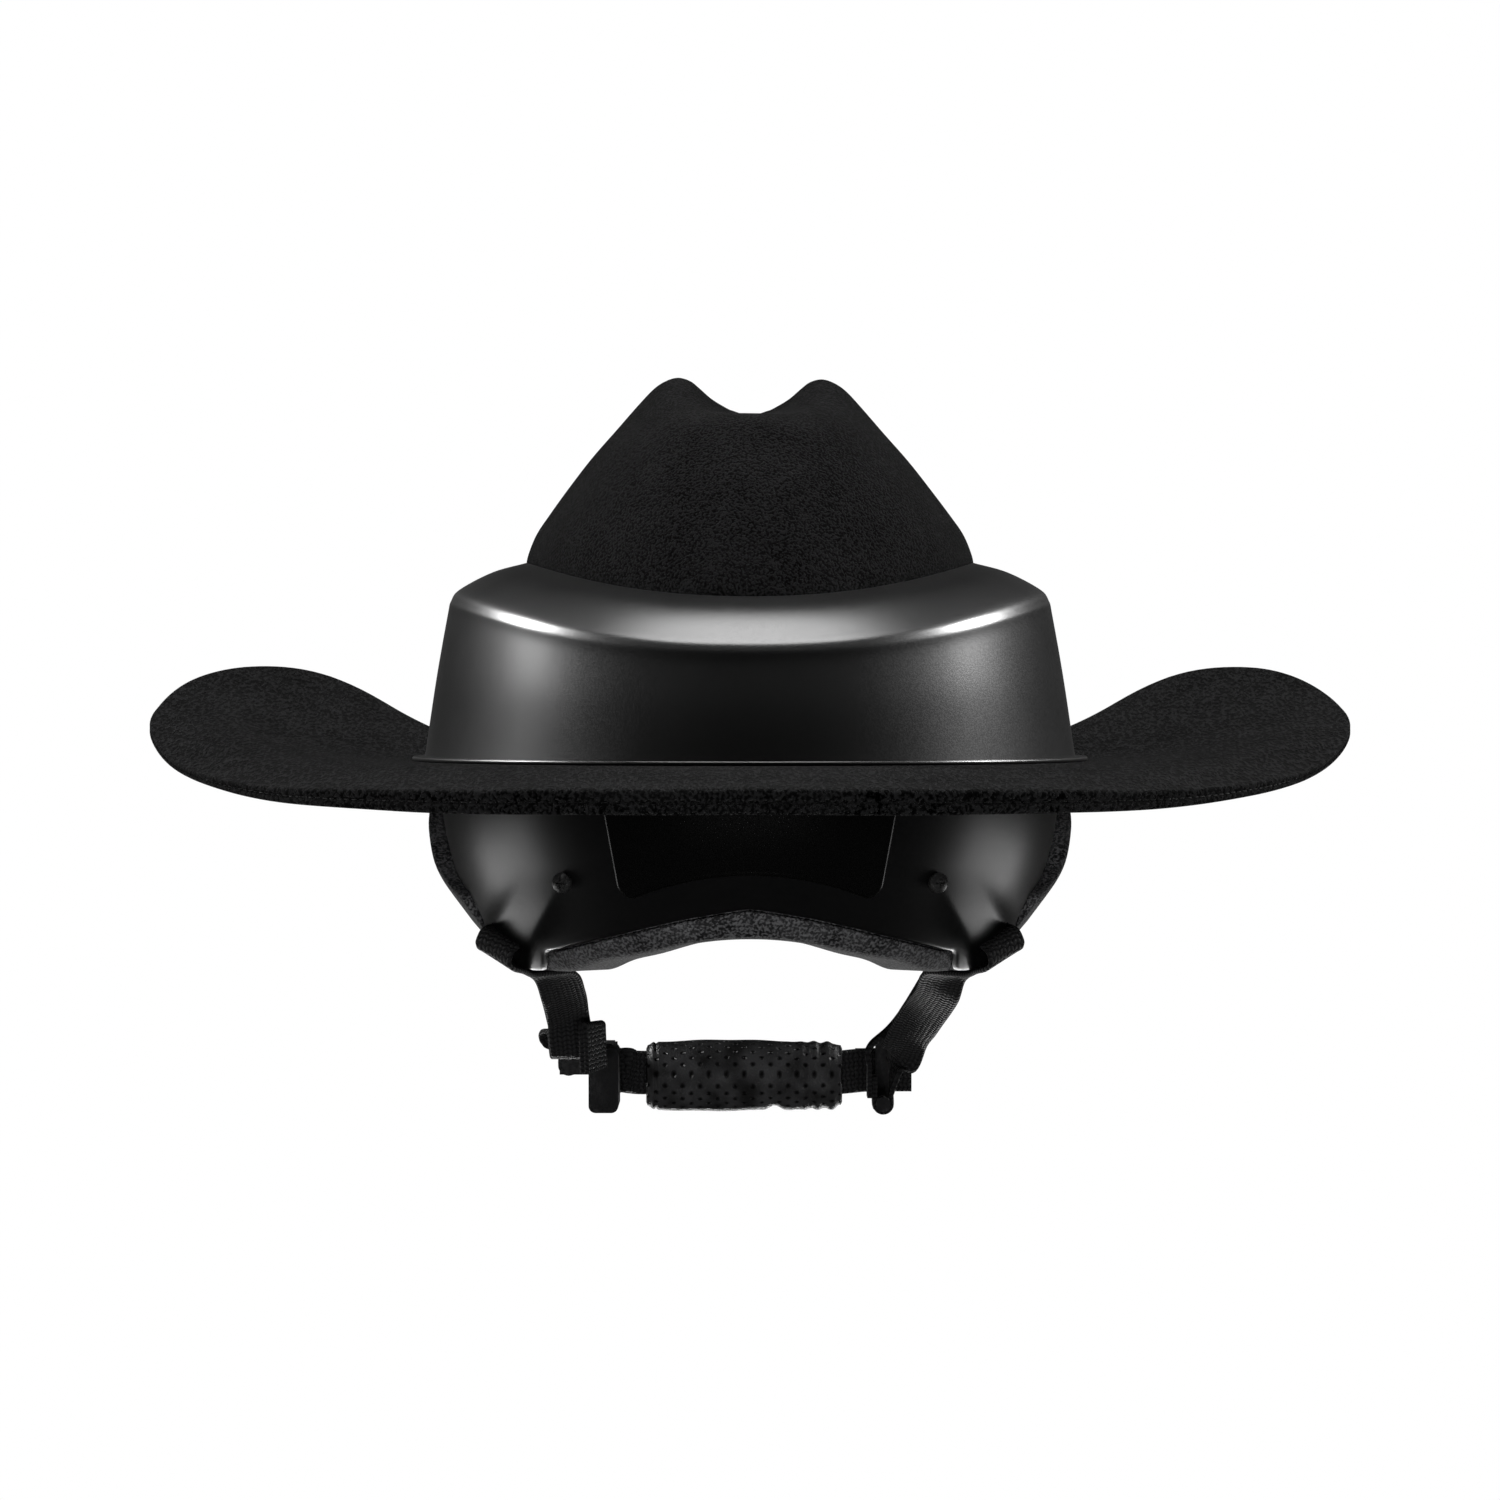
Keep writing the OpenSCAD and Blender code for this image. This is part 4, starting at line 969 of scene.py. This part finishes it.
@dataclass
class Shell:
    """Moulded shell, nape panel, foam liner, pads and screws."""

    finishes: dict[str, Finish]
    slot_at: Triple = (78.6, -60.0, -56.2)
    slot_way: Triple = (0.742, 0.51, 0.439)
    slot_size: Triple = (15.4, 2.6, 14.0)
    lobe_ridge: Triple = (60.3, 0.363, 39.0)
    lobe_out: float = 4.2
    lip: tuple = ((0.0, 0.95), (0.1, 0.5), (0.32, 0.2), (0.62, 0.05), (1.0, 0.0))
    inner_lip: tuple = ((0.0, -0.5), (0.3, 0.0))
    panel_z: Pair = (-34.5, -14.0)
    panel_arch: float = 7.5
    panel_half: float = 46.0
    panel_lean: float = 5.0
    panel_corner: float = 4.5
    panel_rise: Pair = (0.45, 0.1)
    foam_rows: tuple = (
        (0.0, 3.2), (0.04, 1.7), (0.12, 0.6), (0.24, 0.1), (0.4, 0.0), (0.58, 0.0), (0.76, 0.0), (0.9, 0.3),
        (0.97, 0.9), (1.0, 1.8))
    pads: tuple = (
        ("brow_cushion", "brow_pad", (150, 30), (-8, 20)),
        ("nape_cushion", "nape_pad", (-60, -120), (-44, -14)),
        ("side_cushion_right", "side_pad_right", (22, -22), (4, 34)),
        ("side_cushion_left", "side_pad_left", (202, 158), (4, 34)))
    pad_off: float = FORM.wall + 0.6
    pad_swell: Pair = (0.9, 6.0)
    pad_give: float = 0.6
    screw_bevel: float = 0.18
    angles: Array = field(default_factory=lambda: np.unique(np.round(np.concatenate(
        [np.arange(-90, 270, 1.2), np.arange(-60, -15, 0.4), np.arange(195, 240, 0.4)]), 3)))

    def lobe(self, z: Array, t: Array) -> Array:
        """How far a strap lobe stands out: a ridge runs down from the screw, steep inside and flat outside.

        With u the distance outward from the ridge: e^(u/4) inside, 1 outside until it fades past the strap.
        """
        ridge, lean, drop = self.lobe_ridge
        u = np.abs(FORM.skin(z, t)[..., 0]) - ridge + lean * (z + drop)
        soft = 0.5 * (u - np.sqrt(u * u + 0.35))
        fade, rear = 1 - smooth_step(u, 12, 24), np.sin(np.radians(t)) < 0
        return self.lobe_out * smooth_step(-z, 32, 58) * np.exp(soft / 4.0) * fade * rear

    def face(self, lip: Sequence, shares: Array, off: float) -> Array:
        """Rows of the shell's face.

        Args:
            lip: height over the edge and inset of each of the first rows.
            shares: the other rows' shares of the way up.
            off: how far the face is set in.

        Returns:
            The rows from the edge up.
        """
        z0 = FORM.edge_z(self.angles)
        lifts, insets = np.array(lip).T[:, :, None]
        last = lifts[-1]
        z = np.concatenate([z0 + lifts, z0 + last + (FORM.dome_h - off - z0 - last) * shares[:, None]])
        inset = off + np.concatenate([insets, 0 * shares[:, None]]) - self.lobe(z, self.angles)
        return FORM.skin(z, self.angles, inset, inset, off)

    def shell(self) -> None:
        """Shell: the head form from its lower edge to the top, with a rounded lip and a slot in each lobe."""
        shares = np.concatenate([np.linspace(0.006, 0.42, 56), np.linspace(0.45, 0.97, 22)])
        outer, inner = self.face(self.lip, shares, 0.0), self.face(self.inner_lip, shares, FORM.wall)
        piece = bowl_piece("moulded_shell", outer, FORM.dome_h, inner, FORM.dome_h - FORM.wall)
        thing = finish_piece(piece, self.finishes["satin"], "helmet_shell")
        for side in (-1.0, 1.0):
            at, way = (np.array(part) * [side, 1, 1] for part in (self.slot_at, self.slot_way))
            cut_slot(thing, at, way, self.slot_size)

    def panel(self) -> None:
        """Bare nape panel: a thin plate with rounded lower corners, an arched lower edge and a raised rim."""
        s = np.sin(np.linspace(-np.pi / 2, np.pi / 2, 121))[None, :]
        v = np.sin(np.linspace(0, np.pi / 2, 41))[:, None]
        low, top = self.panel_z[0] - self.panel_arch * s * s, self.panel_z[1]
        z = top + (low - top) * v
        height, corner = top - low, self.panel_corner
        into = np.maximum(0, v * height - (height - corner))
        cut = corner - np.sqrt(np.maximum(0, corner ** 2 - into ** 2))
        x = s * (self.panel_half - self.panel_lean * v - cut)
        far = np.minimum((1 - np.abs(s)) * 42, (1 - v) * height)
        rise = self.panel_rise[0] * smooth_step(far, 0, 0.25) + self.panel_rise[1] * bell(far, 0.7, 0.35)
        y = FORM.back_y(x, z)
        piece = slab_piece("nape_plate", grid(x, y - 0.15 - rise, z), grid(x, y - 0.1, z))
        finish_piece(piece, self.finishes["panel"], "nape_panel")

    def foam(self) -> None:
        """Foam liner: shows below the shell and stands out past its edge at the ears."""
        t, inset = self.angles, FORM.wall + 0.3
        b, z0, foam_z = FORM.from_back(t), FORM.edge_z(t), FORM.foam_z(t)
        low = np.minimum(np.minimum(FORM.edge_z(t - 0.8), z0), FORM.edge_z(t + 0.8))
        tall = np.maximum(low - foam_z - 0.3, 1.5)
        share, rounding = np.array(self.foam_rows).T[:, :, None]
        z = foam_z + tall * share
        ears = smooth_step(b, 60, 70) * (1 - 0.6 * smooth_step(b, 110, 150))
        lip = (1.2 + FORM.foam_lip * (1 - smooth_step(-z, 32, 58))) * ears
        out = inset + smooth_step(low - foam_z, 0.5, 3) * (rounding - inset - lip)
        head = inset + FORM.foam_side, inset + FORM.foam_end
        top, inner_top = FORM.dome_h - inset, FORM.dome_h - inset - FORM.foam_top
        up, inner_up = (np.linspace(first, 0.97, 30)[:, None] for first in (0.05, 0.06))
        outer = np.concatenate([
            FORM.skin(z, t, out, out), FORM.skin((foam_z + tall)[None], t, inset, inset),
            FORM.skin(z0 + (top - z0) * up, t, inset, inset, inset)])
        inner = np.concatenate([
            FORM.skin(foam_z[None], t, *head),
            FORM.skin(z0 + (inner_top - z0) * inner_up, t, *head, inset + FORM.foam_top)])
        piece = bowl_piece("foam_body", outer, top, inner, inner_top)
        finish_piece(piece, self.finishes["foam"], "foam_liner", sharp=50)

    def pad(self, name: str, node: str, span: Pair, heights: Pair) -> None:
        """Comfort pad: swells from its sewn edge by (1 - b^5)^(1/2) towards the head, b its larger share.

        Args:
            name: name of the piece.
            node: the CAD node it stands for.
            span: first and last angle.
            heights: lowest and highest edge.
        """
        s, v = np.linspace(-1, 1, 61)[None, :], np.linspace(-1, 1, 25)[:, None]
        box = np.maximum(np.abs(s), np.abs(v))
        scale = box / np.clip((np.abs(s) ** 6 + np.abs(v) ** 6) ** (1 / 6), 1e-6, None)
        t = sum(span) / 2 + (span[1] - span[0]) / 2 * s * scale
        z = sum(heights) / 2 + (heights[1] - heights[0]) / 2 * v * scale
        edge, full = self.pad_swell
        swell = edge + (full - edge) * (np.maximum(0, 1 - box ** 5) ** 0.5)
        side, end, top = (self.pad_off + foam for foam in (FORM.foam_side, FORM.foam_end, FORM.foam_top))
        face = FORM.skin(z, t, side + swell, end + swell, top + 3)
        back = FORM.skin(z, t, side + 0.8, end + 0.8, top + 0.8)
        finish_piece(slab_piece(name, face, back), self.finishes["cloth"], node, give=self.pad_give)

    def crown_pad(self) -> None:
        """Round crown pad under the liner's top: a disc that swells by (1 - r^6)^(1/2)."""
        off, t = self.pad_off, np.arange(0, 360, 5)
        r = np.linspace(1, 0.03, 18)[:, None]
        top = FORM.dome_h - off - FORM.foam_top - 1.6
        z = top * (0.98 - 0.14 * r)
        base = FORM.skin(z, t, off + FORM.foam_side, off + FORM.foam_end, off + FORM.foam_top + 1.6)
        under = base * [0.96, 0.96, 1.0]
        under[..., 2] -= 0.6 + 5.2 * np.sqrt(np.maximum(0, 1 - r ** 6))
        piece = bowl_piece("crown_cushion", base, top, under, top - 6.0)
        finish_piece(piece, self.finishes["cloth"], "crown_pad", give=self.pad_give)

    def build(self) -> None:
        """Make every piece of the shell."""
        self.shell()
        self.panel()
        self.foam()
        for pad in self.pads:
            self.pad(*pad)
        self.crown_pad()
        soften_node("rear_screws", self.finishes["black_steel"], Body.HELMET, self.screw_bevel)
        dress("rear_inserts", self.finishes["steel"])
        dress("brim_screws", self.finishes["black_steel"])


@dataclass
class Harness:
    """Straps, hanger, buckle, chin strap and chin pad.

    Straps that come in pairs are given on the right side. A way is a row of points, each with the width's
    direction there.
    """

    finishes: dict[str, Finish]
    web: Band = Band()
    bar_d: float = 3.4
    play: float = 0.08
    lay: float = 0.3
    chin_y: float = 48.2
    chin_z: float = -106.8
    chin_end: float = 55.3
    hinge: Pair = (45.0, 45.12)
    pin_r: float = 2.2
    buckle_x: float = -49.3
    plug_bar_y: float = 50.78
    left_loop: Triple = (61.0, 23.0, -103.0)
    slot_way: Triple = (0.742, 0.51, 0.439)
    over_lip: tuple = (
        (74.8, -50.0, -54.6), (78.0, -58.2, -55.8), (80.2, -64.0, -56.6), (81.8, -66.0, -59.0),
        (82.0, -65.4, -61.8), (80.6, -62.6, -63.4), (78.2, -57.0, -64.4), (75.2, -49.0, -66.0))
    behind_ear: tuple = (
        ((70.0, -40, -68.3), (0.85, 0.5, 0.1)), ((63.8, -29, -70.8), (0.95, 0.2, -0.15)),
        ((61.6, -19, -77.5), (0.97, -0.1, -0.25)))
    right_way: tuple = (
        ((57, 0, -86), (0.88, -0.4, -0.25)), ((52.6, 16, -95.0), (1.0, -0.2, 0.05)),
        ((50.6, 25, -101.0), (0.75, -0.66, 0.05)))
    left_way: tuple = (
        ((60.5, -7, -85), (0.9, -0.4, -0.2)), ((59.5, -5.5, -93), (1.0, -0.15, 0)),
        ((59, -3, -98), (1.0, -0.1, 0)), ((59.5, 2, -98.5), (1.0, -0.1, 0)), ((61, 8, -92), (0.9, -0.4, 0)))
    anchor_angle: float = 27.0
    anchor_turns: tuple = ((2.7, -15), (2.7, -10), (1.6, -7.2), (0, -6.5), (-1.6, -7.2), (-2.7, -10), (-3, -16))
    bunch: tuple = (
        (-39.2, 46.3, 0.4), (-40.1, 45.7, 0.4), (-40.9, 43.9, 0.0), (-42.1, 42.5, -0.5), (-43.6, 42.6, -0.3),
        (-44.6, 44.0, 0.2), (-44.6, 46.0, 0.4))
    pad_size: Triple = (66.0, 23.6, 13.2)
    pad_x: float = -2.0
    pad_drop: float = 1.9
    pad_give: float = 0.7
    pad_wrinkle: float = 0.03
    plastic_bevel: float = 0.45

    def loop(self, side: str) -> Array:
        """Place of a side strap's loop: round the hanger's bar on the right."""
        if side == "left":
            return np.array(self.left_loop)
        low = self.chin_z - self.web.width / 2 - 0.6 - self.bar_d / 2
        return np.array([self.hinge[0], self.hinge[1] - 15.8, low])

    def strap(self, name: str, node: str, path: Sequence, widths: Sequence, count: int = 0,
              body: Body = Body.HELMET, side: str = "right") -> None:
        """Carry the webbing along a path.

        Args:
            name: name of the piece.
            node: the CAD node that it stands for, or nothing.
            path: middle points.
            widths: directions of the width, or one for the whole path.
            count: samples of a smooth curve through the points, or 0 to take them as they are.
            body: the body it rides on.
            side: the side it is on, where "left" mirrors it.
        """
        flip = np.array([-1.0 if side == "left" else 1.0, 1, 1])
        piece = self.web.along(name, np.array(path) * flip, np.array(widths) * flip, count)
        finish_piece(piece, self.finishes["webbing"], *filter(None, [node]), body=body, sharp=60)

    def rear_strap(self, side: str, way: Sequence) -> None:
        """Rear strap: round the shell's edge, through the slot, down behind the ear and round its bar."""
        loop, r = self.loop(side), self.bar_d / 2 + self.lay + self.web.thick / 2
        turn = arc((0, 0), r, 0, -180, 7)
        points, turns = zip(*self.behind_ear, *way)
        path = [*self.over_lip, *points, loop + (r + 0.9, -3, 11), loop + (r + 0.1, 0, 5),
                *(loop + grid(turn[:, 0], 0, turn[:, 1])), loop + (-r, 0, 9)]
        widths = [self.slot_way] * len(self.over_lip) + [*turns, (0.2, -1, 0)] + [(0, -1, 0)] * 9
        self.strap(f"rear_webbing_{side}", f"rear_strap_{side}", path, widths, 260, side=side)

    def front_strap(self, side: str) -> None:
        """Front strap: from its anchor at the temple down to the rear strap's loop."""
        a = np.radians(self.anchor_angle)
        x, y = FORM.oval(FORM.half_w - 8, FORM.half_l - 8, self.anchor_angle)
        at = np.array([x, y, FORM.foam_z(self.anchor_angle)])
        out = np.array([np.cos(a), np.sin(a), 0])
        lay = self.loop(side) - (self.bar_d / 2 + self.lay + self.web.thick / 2 + self.web.thick + 0.15, 0, 0)
        path = [*(at + u * out + (0, 0, w) for u, w in self.anchor_turns),
                lay + (13, 3.5, 32), lay + (0.3, 0, 19), lay + (0, 0, 12), lay + (0, 0, 2)]
        widths = [(np.sin(a), -np.cos(a), 0)] * len(self.anchor_turns) + [(0.1, -1, 0)] + [(0, -1, 0)] * 3
        self.strap(f"front_webbing_{side}", f"front_strap_{side}", path, widths, 140, side=side)

    def chin_strap(self) -> None:
        """Chin strap: doubled end, eye round the plug's bar, straight run with a cut tail, and hanger's eye."""
        t, x, y = self.web.thick, self.buckle_x, self.chin_y
        eye = self.bar_d / 2 + self.play + t / 2
        doubled = [(x + 8.6, y + t), (x + 6, y + t + 0.2), (x + 2.6, self.plug_bar_y + eye * 0.9)]
        wrap = arc((x, self.plug_bar_y), eye, 90, 270, 25)
        plan = np.concatenate([doubled, wrap, grid(np.linspace(x + 1, self.chin_end, 60), y)])
        dip = smooth_step(plan[:, 0], x + 2, x + 12) * (1 - smooth_step(plan[:, 0], 28, 42))
        up, body = (0, 0, 1), Body.CHIN_STRAP
        self.strap("chin_webbing", "chin_strap", grid(*plan.T, self.chin_z - dip), up, body=body)
        bunch = np.array(self.bunch) * (1, 1, -1) + (0, 0, self.chin_z)
        self.strap("bunched_end", "", bunch, (0.05, 0, 1), 60, body)
        wrap = arc(self.hinge, self.pin_r + self.play + t / 2, 100, -190, 30)
        plan = np.concatenate([wrap, [(self.hinge[0] - 5, y - t), (self.hinge[0] - 9, y - t)]])
        self.strap("hanger_eye", "", grid(*plan.T, self.chin_z), up, body=body)

    def strap_tail(self) -> None:
        """Folded end of the left strap's adjuster: doubled over a round fold and turned nearly edge-on."""
        low, high = (np.array(corner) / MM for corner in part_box("strap_tail"))
        turn, apart = (0.42, 0.907, 0.0), np.array([0.907, -0.42, 0.0]) * (self.web.thick / 2 + 0.05)
        foot, rise = low + (14.6, 2.0, 1.0), np.array([-0.5, -1.0, high[2] - low[2] - 6.2])
        a = np.radians(np.linspace(180, 0, 7))[:, None]
        fold = foot + rise + apart * np.cos(a) + np.array([0.0, 0.0, 0.9]) * np.sin(a)
        legs = np.linspace(0, 0.93, 6)[:, None] * rise
        path = np.concatenate([foot - apart + legs, fold, foot + apart + legs[::-1]])
        self.strap("adjuster_tail", "strap_tail", path, turn, 70)

    def chin_pad(self) -> None:
        """Chin pad: a round-edged sleeve with a seam strip, wrinkles towards its right end and puckered ends.

        Section: x along, h/2*|cos|^0.72 up and t/2*|sin|^0.86 across, with their signs. The radius gains a
        sine wrinkle near the right end and narrows at both ends.
        """
        length, height, thick = self.pad_size
        low, around = self.chin_z - self.pad_drop, 96
        x = np.linspace(-1, 1, 221)[:, None]
        a = np.linspace(0, 2 * np.pi, around, endpoint=False)
        c, s = np.cos(a), np.sin(a)
        up, across = np.sign(c) * np.abs(c) ** 0.72, np.sign(s) * np.abs(s) ** 0.86
        mm = x * length / 2
        puff = 1.0 - 0.1 * smooth_step(np.abs(x), 0.93, 1.0) + 0.03 * np.cos(2.2 * x + 0.4)
        seam = -0.05 * bell(mm, -30.2, 0.5)
        pleats = np.sin(mm * 1.35 + 0.9 * c) * (0.4 + ripple(mm / 7, 1.5 * s, 3)) * smooth_step(mm, 12, 22)
        wrinkle = self.pad_wrinkle * (pleats + ripple(mm / 6, 2.2 * np.sin(a - 0.7), 7))
        swell = puff + seam + wrinkle - 0.16 * bell(mm, 10.5, 2.2) * bell(a, np.pi, 0.5)
        outer = grid(self.pad_x + mm, self.chin_y + thick / 2 * across * swell, low + height / 2 * up * swell)

        def end(row: Array, sign: float) -> list[Array]:
            """Puckered rim of one end and the slot inside it."""
            y, z = np.clip(thick * across, -1.1, 1.1), np.clip(height * up, -7.8, 7.8)
            slot = grid(row[:, 0].mean(), self.chin_y + y, low + z)
            return [row * 0.55 + slot * 0.45 + (sign * 0.5, 0, 0), slot - (sign * 0.2, 0, 0)]

        rows = np.concatenate([end(outer[0], -1.0)[::-1], outer, end(outer[-1], 1.0)])
        flat = grid(mm * MM, a * (height + thick) * 0.78 / 2 * MM)
        flat = np.pad(flat, ((2, 2), (0, 0), (0, 0)), mode="edge").reshape(-1, 2)
        piece = Piece("chin_cushion", rows.reshape(-1, 3), [quads(len(rows), around, True)], flat)
        finish_piece(piece, self.finishes["leatherette"], "chin_pad", body=Body.CHIN_PAD, give=self.pad_give)

    def build(self) -> None:
        """Make every piece of the harness."""
        self.rear_strap("right", self.right_way)
        self.rear_strap("left", self.left_way)
        self.front_strap("right")
        self.front_strap("left")
        self.strap_tail()
        self.chin_strap()
        self.chin_pad()
        for node, body in (
                ("buckle_socket", Body.HELMET), ("buckle_plug", Body.CHIN_STRAP),
                ("release_arm_upper", Body.ARM_UPPER), ("release_arm_lower", Body.ARM_LOWER),
                ("chin_hanger", Body.HELMET), ("front_anchor_left", Body.HELMET),
                ("front_anchor_right", Body.HELMET)):
            soften_node(node, self.finishes["plastic"], body, self.plastic_bevel)


@dataclass
class Studio:
    """Camera at the photograph's place, pale floor and backdrop, and soft lights, in metres."""

    camera_at: Triple = (0.0, -1.8, 0.026)
    look_at: Triple = (0.0, 0.0, 0.0033)
    focal_px: float = 5400.0
    frame_px: float = 1500.0
    sensor_mm: float = 36.0
    floor_z: float = -0.7
    floor_level: float = 0.05
    fill: float = 0.03

    @staticmethod
    def aim(thing: Thing, at: Sequence[float], to: Sequence[float]) -> None:
        """Put a camera or a light at a place, facing a point."""
        thing.location = at
        thing.rotation_euler = (Vector(to) - Vector(at)).to_track_quat("-Z", "Y").to_euler()

    def camera(self) -> None:
        """Make the scene's camera."""
        data = bpy.data.cameras.new("camera")
        data.sensor_width = self.sensor_mm
        data.lens = self.sensor_mm * self.focal_px / self.frame_px
        data.clip_start, data.clip_end = 0.05, 50
        thing = place("camera", data)
        self.aim(thing, self.camera_at, self.look_at)
        bpy.context.scene.camera = thing

    def light(self, name: str, at: Sequence[float], to: Sequence[float], size: Sequence[float], power: float,
              soft: bool = True, gloss: bool = True) -> None:
        """Add a rectangular area light.

        Args:
            name: name of the light.
            at: its place.
            to: the point that it faces.
            size: its two sides.
            power: its power in watts.
            soft: whether it lights dull surfaces.
            gloss: whether it is seen in glossy surfaces.
        """
        data = bpy.data.lights.new(name, "AREA")
        data.shape, data.size, data.size_y, data.energy = "RECTANGLE", size[0], size[1], power
        thing = place(name, data)
        self.aim(thing, at, to)
        thing.visible_camera = False
        thing.visible_diffuse, thing.visible_glossy = soft, gloss

    @staticmethod
    def start_tree(owner: bpy.types.Material | bpy.types.World) -> Pen:
        """Pen on the emptied nodes of a material or a world."""
        owner.use_nodes = True
        owner.node_tree.nodes.clear()
        return Pen(owner.node_tree)

    def floor(self) -> None:
        """Pale floor and backdrop in one: straight runs joined by a quarter circle, swept along X.

        The camera sees its finish as clean white, and the object sees it as a dim surface.
        """
        s = np.linspace(0, np.pi / 2, 24)
        bend = grid(1.6 + 0.9 * np.sin(s), 0.9 * (1 - np.cos(s)))
        profile = np.concatenate([[[-3.0, 0.0]], bend, [[2.5, 3.0]]])
        points = grid(np.array([[-4.0], [4.0]]), profile[:, 0], profile[:, 1] + self.floor_z) / MM
        piece = Piece("studio_floor", points.reshape(-1, 3), [quads(2, len(profile), False)])
        white = bpy.data.materials.new("studio_white")
        pen = self.start_tree(white)
        dim = pen.node("ShaderNodeBsdfDiffuse", {"Color": tone(self.floor_level, self.floor_level)})
        pen.white_to_camera(dim, "ShaderNodeEmission", "ShaderNodeOutputMaterial")
        piece.make(white)

    def world(self) -> None:
        """Even soft fill from all round."""
        world = bpy.data.worlds.new("studio")
        bpy.context.scene.world = world
        pen = self.start_tree(world)
        fill = pen.node("ShaderNodeBackground", {"Color": tone(1, 1), "Strength": self.fill})
        pen.white_to_camera(fill, "ShaderNodeBackground", "ShaderNodeOutputWorld")

    def build(self) -> None:
        """Set the stage."""
        self.camera()
        self.floor()
        self.world()
        self.light("overhead", (0, -0.15, 1.3), (0, -0.02, 0.0), (0.9, 0.45), 22)
        for side in (-1, 1):
            self.light("side_box", (1.2 * side, 0.22, 0.85), (0, 0, 0.03), (0.5, 0.5), 62, soft=False)
            self.light("side_soft", (1.4 * side, -0.6, 0.7), (0, 0, 0.05), (0.8, 0.8), 2.5, gloss=False)
            self.light("low_box", (1.15 * side, 0.45, -0.5), (0, 0, 0.0), (0.9, 0.4), 2.6)
        self.light("lip_strip", (0, 0.7, -0.62), (0, -0.1, -0.05), (1.3, 0.12), 8, soft=False)
        self.light("front_fill", (0, -2.5, -0.5), (0, 0, 0.0), (1.4, 0.3), 45, gloss=False)
        bpy.context.scene.view_settings.view_transform = "Standard"


def main() -> None:
    """Build the stage and every sub-assembly in order."""
    logging.basicConfig(level=logging.INFO, format="%(name)s: %(message)s")
    Studio().build()
    finishes = make_finishes()
    for part in (Hat, Shell, Harness):
        part(finishes).build()


if __name__ == "__main__":
    main()
